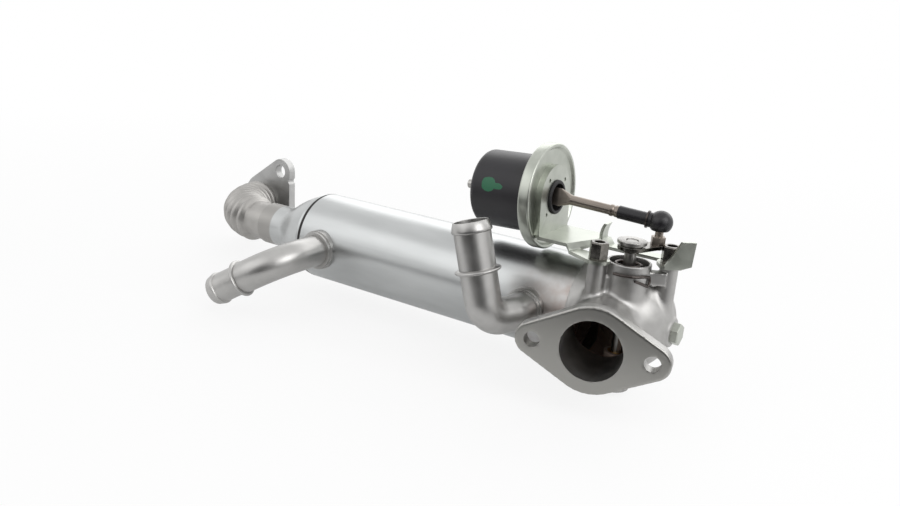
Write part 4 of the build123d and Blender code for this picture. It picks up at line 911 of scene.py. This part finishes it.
# %% [markdown]
# The outside grows from the dome, body by body, each joined with the fillet that its place shows:
# wide where the duct leaves the dome, tight at the posts and the lug. Bores and holes are cut
# after that.

# %% Outside of the casting
COLLAR_END = 226.0
COLLAR_RADIUS = 33.2
BOSS_RADIUS = 12.9
BOSS_TOP = 40.2
POST_RADIUS = 5.3
POST_TOP = 39.5
WEB_HALF_THICK = 3.0
WEB_HALF_HEIGHT = 10.0
WEB_MIDDLE = 21.0
LUG_REACH = 16.25
LUG_OFFSET = 3.2
LUG_MIDDLE = 32.4
LUG_HALF = (5.0, 3.3, 3.9)
RIB_REACH = 11.0
RIB_RADIUS = 4.0
LOWER_BOSS_RADIUS = 10.0
LOWER_BOSS_END = -39.0
PLUG_DROP = 1.3
PLUG_SEAT_END = 270.0
PLUG_SEAT_RADIUS = 8.4


def casting_outside(p):
    """Distance to the dome with all that stands on it, each body joined by its own fillet."""
    body = dome(p, CAST_START, 0.0)
    collar = bar(p, (CAST_START, 0, 0), (COLLAR_END, 0, 0), COLLAR_RADIUS, 0.5)
    body = joined(body, collar, 0.8)
    body = joined(body, outlet_bar(p, 0, -40, -4, DUCT_RADIUS), 6.0)
    body = joined(body, upright_bar(p, SHAFT, 10.0, BOSS_TOP, BOSS_RADIUS, 0.6), 2.5)
    for spot in (LEFT_POST, RIGHT_POST):
        body = joined(body, upright_bar(p, spot, 8.0, POST_TOP, POST_RADIUS, 0.3), 3.0)
    run = SHAFT - LEFT_POST
    half = (np.hypot(*run) / 2, WEB_HALF_THICK, WEB_HALF_HEIGHT)
    body = joined(body, block(p, (*(SHAFT - run / 2), WEB_MIDDLE), run, half, 0.8), 2.0)
    run = (RIGHT_POST - SHAFT) / np.hypot(*(RIGHT_POST - SHAFT))
    spot = SHAFT + LUG_REACH * run + LUG_OFFSET * np.array([run[1], -run[0]])
    body = joined(body, block(p, (*spot, LUG_MIDDLE), run, LUG_HALF, 0.9), 1.2)
    rib_start, rib_end = (*(SHAFT + RIB_REACH * run), 24.0), (*RIGHT_POST, 14.0)
    body = joined(body, bar(p, rib_start, rib_end, RIB_RADIUS), 3.0)
    lower = upright_bar(p, SHAFT, LOWER_BOSS_END, -12.0, LOWER_BOSS_RADIUS, 1.0)
    body = joined(body, lower, 4.0)
    seat = bar(p, (262, 0, -PLUG_DROP), (PLUG_SEAT_END, 0, -PLUG_DROP), PLUG_SEAT_RADIUS, 0.5)
    body = joined(body, seat, 3.0)
    return joined(body, outlet_flange(p), 2.5)


# %% Casting
CUP_FLOOR = 30.2
CUP_RADIUS = 11.4
BUSH_HOLE_RADIUS = 5.5
BUSH_SEAT_RADIUS = 7.5
PLUG_HOLE_RADIUS = 4.5
STUD_HOLE_RADIUS = 3.0
OVER_TOP = 42.0


def casting(p):
    """Distance to the casting: gas space cut, wall and bush seats added, then bores and holes."""
    bore = outlet_bar(p, 0, -40, 2, BORE_RADIUS)
    body = np.maximum(casting_outside(p), -joined(dome(p, SHELL_END, CAST_WALL), bore, 2.0))
    body = joined(body, np.maximum(flap_wall(p), -bore), 2.0)
    for low, high in ((16.0, 31.0), (-30.5, -16.0)):
        body = joined(body, upright_bar(p, SHAFT, low, high, BUSH_SEAT_RADIUS, 0.4), 1.5)
    cuts = [
        bar(p, (200, 0, 0), (SHELL_END, 0, 0), SHELL_RADIUS),
        upright_bar(p, SHAFT, CUP_FLOOR, OVER_TOP, CUP_RADIUS),
        upright_bar(p, SHAFT, -35.5, OVER_TOP, BUSH_HOLE_RADIUS),
        bar(p, (DOME_X, 0, -PLUG_DROP), (272, 0, -PLUG_DROP), PLUG_HOLE_RADIUS),
    ]
    for spot in (LEFT_POST, RIGHT_POST):
        cuts.append(upright_bar(p, spot, 28.0, OVER_TOP, STUD_HOLE_RADIUS))
    cuts += [outlet_bar(p, reach, -12, 2, BOLT_RADIUS) for reach in (-BOLT_REACH, BOLT_REACH)]
    for cut in cuts:
        body = np.maximum(body, -cut)
    return body


points, quads = surface_of(casting, (200, -75, -41), (290, 36, 42), cell=0.9)
low, high = (np.array(corner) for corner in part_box("valve_housing"))
points = np.clip(points, (low - AXIS_START) / MM, (high - AXIS_START) / MM)
put_mesh("casting_blasted", points, quads, "valve_housing")

# %% [markdown]
# ## Edges of the small parts
# No real edge is sharp. Pressed, turned and forged parts leave their tools with rounds of a few
# tenths of a millimetre, and those catch the light. Each part below is a copy of its CAD mesh,
# joined up and with its flat faces merged, and a bevel of its own width rounds its edges.

# %% Copies with rounded edges
EDGE_WIDTH = {
    "exhaust_flange": 0.6,
    "bracket": 0.45,
    "inlet_cone": 0.5,
    "plug_screw": 0.3,
    "post_nuts": 0.3,
    "lever": 0.3,
    "lever_disc": 0.3,
    "top_disc": 0.35,
    "lever_washer": 0.2,
    "ball_stud": 0.15,
    "ball_socket": 0.5,
    "rod_sleeve": 0.3,
    "rod_ferrule": 0.15,
    "pull_rod": 0.4,
    "rod_boot": 0.3,
    "pipe_collar_left": 0.4,
    "pipe_collar_right": 0.4,
    "piston_cup": 0.3,
    "vacuum_nipple": 0.15,
}
FLAT_WITHIN = radians(1)
EDGE_FROM = radians(33)


def softened(node, width):
    """Join the triangles of a copy of a node's mesh, merge its flat faces, and bevel its edges."""
    work = bmesh.new()
    work.from_mesh(frame["nodes"][node].data)
    bmesh.ops.remove_doubles(work, verts=work.verts, dist=2e-6)
    bmesh.ops.dissolve_limit(work, angle_limit=FLAT_WITHIN, verts=work.verts, edges=work.edges)
    mesh = bpy.data.meshes.new(node + "_edged")
    work.to_mesh(mesh)
    work.free()
    piece = put_object(mesh, node)
    bevel = piece.modifiers.new("edges", "BEVEL")
    bevel.width = width * MM
    bevel.segments = 2
    bevel.angle_limit = EDGE_FROM
    bevel.harden_normals = True


for node, width in EDGE_WIDTH.items():
    softened(node, width)

# %% [markdown]
# ## The floor and the light
# The photograph is a cut-out on white. Here the object stands on white paper in a white room, and
# the paper keeps its shadow. Camera rays see the white background, and so do the rays that leave
# metal, except where dark cloth lies on the paper and hangs in the room in front of the object.
# Camera rays never see that cloth. It gives the upright faces of the metal their grey.


# %% Background for each kind of ray
def background_share(tree, cloth):
    """1 for camera rays; for rays off metal or through glass, 1 less the share of dark cloth."""
    glossy = add(tree, "LightPath", {}, "Is Glossy Ray")
    through = add(tree, "LightPath", {}, "Is Transmission Ray")
    mirrored = add(tree, "Math", {"operation": "MAXIMUM", 0: glossy, 1: through})
    clear = add(tree, "Math", {"operation": "SUBTRACT", 0: 1.0, 1: cloth})
    shown = add(tree, "Math", {"operation": "MULTIPLY", 0: mirrored, 1: clear})
    seen = add(tree, "LightPath", {}, "Is Camera Ray")
    return add(tree, "Math", {"operation": "MAXIMUM", 0: seen, 1: shown})


# %% [markdown]
# The paper is a wide square. Part of its white is its own light, more of it further away, where no
# shadow falls, so the paper and the room meet without an edge. The cloth on it begins 0.1 m in
# front of the outlet, and a small patch lies to the right of it. In the metal, the paper near the
# object shows mostly as lit paper, with the object's shadow on it.

# %% Floor
WHITE = (1.0, 1.0, 1.0, 1.0)
FLOOR_HALF = 30.0
CORNERS = ((-1, -1), (1, -1), (1, 1), (-1, 1))
CLOTH_AHEAD = (0.36, -0.93, 0.0)
low_corner, high_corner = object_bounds()
floor_mesh = bpy.data.meshes.new("floor")
floor_points = [(x * FLOOR_HALF, y * FLOOR_HALF, low_corner.z) for x, y in CORNERS]
floor_mesh.from_pydata(floor_points, [], [(0, 1, 2, 3)])
floor = bpy.data.objects.new("floor", floor_mesh)
bpy.context.scene.collection.objects.link(floor)


def cloth_on_floor(tree, place):
    """Share of the dark cloth: the paper in front of the outlet, and a round patch beside it."""
    ends = {"From Min": 0.1, "From Max": 0.16}
    front = add(tree, "MapRange", {"Value": position_along(tree, CLOTH_AHEAD), **ends})
    patch = (0.07, -0.12, low_corner.z)
    beside = add(tree, "VectorMath", {"operation": "DISTANCE", 0: place, 1: patch}, "Value")
    ends = {"From Min": 0.02, "From Max": 0.07, "To Min": 0.7, "To Max": 0.0}
    right = add(tree, "MapRange", {"Value": beside, **ends})
    return add(tree, "Math", {"operation": "MAXIMUM", 0: front, 1: right})


def floor_shader(tree):
    """White paper, partly its own light, so that it is white and keeps a shadow."""
    place = add(tree, "TexCoord", {}, "Object")
    away = add(tree, "VectorMath", {"operation": "LENGTH", 0: place}, "Value")
    cloth = cloth_on_floor(tree, place)
    seen = add(tree, "LightPath", {}, "Is Camera Ray")
    unseen = add(tree, "Math", {"operation": "SUBTRACT", 0: 1.0, 1: seen})
    dark = add(tree, "Math", {"operation": "MULTIPLY", 0: cloth, 1: unseen})
    ends = {0: dark, 6: linear("#EDEDED"), 7: linear("#2A2A2A")}
    tint = add(tree, "Mix", {"data_type": "RGBA", **ends}, 2)
    paper = add(tree, "BsdfDiffuse", {"Color": tint})
    glow = add(tree, "Emission", {"Color": WHITE, "Strength": 1.0})
    ends = {"From Min": 0.5, "From Max": 1.2, "To Min": 0.85, "To Max": 1.0}
    own = add(tree, "MapRange", {"Value": away, **ends})
    ends = {"From Min": 0.4, "From Max": 0.8, "To Min": 0.7, "To Max": 0.0}
    shadowed = add(tree, "MapRange", {"Value": away, **ends})
    hidden = add(tree, "Math", {"operation": "MAXIMUM", 0: cloth, 1: shadowed})
    white = background_share(tree, hidden)
    share = add(tree, "Math", {"operation": "MULTIPLY", 0: white, 1: own})
    return add(tree, "MixShader", {0: share, 1: paper, 2: glow})


floor_mesh.materials.append(material("white_paper_floor", floor_shader))
print("floor half width in metres:", FLOOR_HALF)

# %% [markdown]
# The room is the world's background. It lights the object a little less than white, and goes down
# to a tenth of white round one direction, where the dark cloth hangs.

# %% World
CLOTH_SIDE = (0.38, -0.92, 0.05)
world = bpy.data.worlds.new("white_room")
bpy.context.scene.world = world
world.use_nodes = True
tree = world.node_tree
tree.nodes.clear()
direction = add(tree, "TexCoord", {}, "Generated")
facing = {"operation": "DOT_PRODUCT", 0: direction, 1: CLOTH_SIDE}
ends = {"From Min": 0.74, "From Max": 0.93}
hanging = add(tree, "MapRange", {"Value": add(tree, "VectorMath", facing, "Value"), **ends})
shade = add(tree, "MapRange", {"Value": hanging, "To Min": 0.78, "To Max": 0.1})
room = add(tree, "Background", {"Color": WHITE, "Strength": shade})
white = add(tree, "Background", {"Color": WHITE, "Strength": 1.0})
mixed = add(tree, "MixShader", {0: background_share(tree, hanging), 1: room, 2: white})
add(tree, "OutputWorld", {"Surface": mixed})
print("nodes in the world:", len(tree.nodes))


# %% [markdown]
# Three soft lamps do the rest. The wide one is a wall of bright cloth behind the object, which the
# top of the shell shows as a white strip, and two small ones fill from the left and from the
# right.


# %% Lamps
def lamp(name, place, target, width, height, watts):
    """A flat soft lamp at a place in metres that faces a target."""
    data = bpy.data.lights.new(name, "AREA")
    data.shape = "RECTANGLE"
    data.size, data.size_y, data.energy = width, height, watts
    item = bpy.data.objects.new(name, data)
    item.location = place
    ahead = Vector(target) - Vector(place)
    item.rotation_euler = ahead.to_track_quat("-Z", "Y").to_euler()
    item.visible_camera = False
    bpy.context.scene.collection.objects.link(item)
    print(f"{name}: {watts} W")


MIDDLE = tuple((low_corner + high_corner) / 2)
lamp("back_wall", (-0.3, 1.6, 1.0), MIDDLE, width=3.0, height=1.3, watts=14.5)
lamp("left_softbox", (-0.75, -0.8, 0.75), MIDDLE, width=1.2, height=0.7, watts=1.5)
RIGHT = (0.3, -0.1, -0.04)
lamp("right_softbox", (0.7, -0.2, 0.55), RIGHT, width=0.6, height=0.6, watts=3.0)
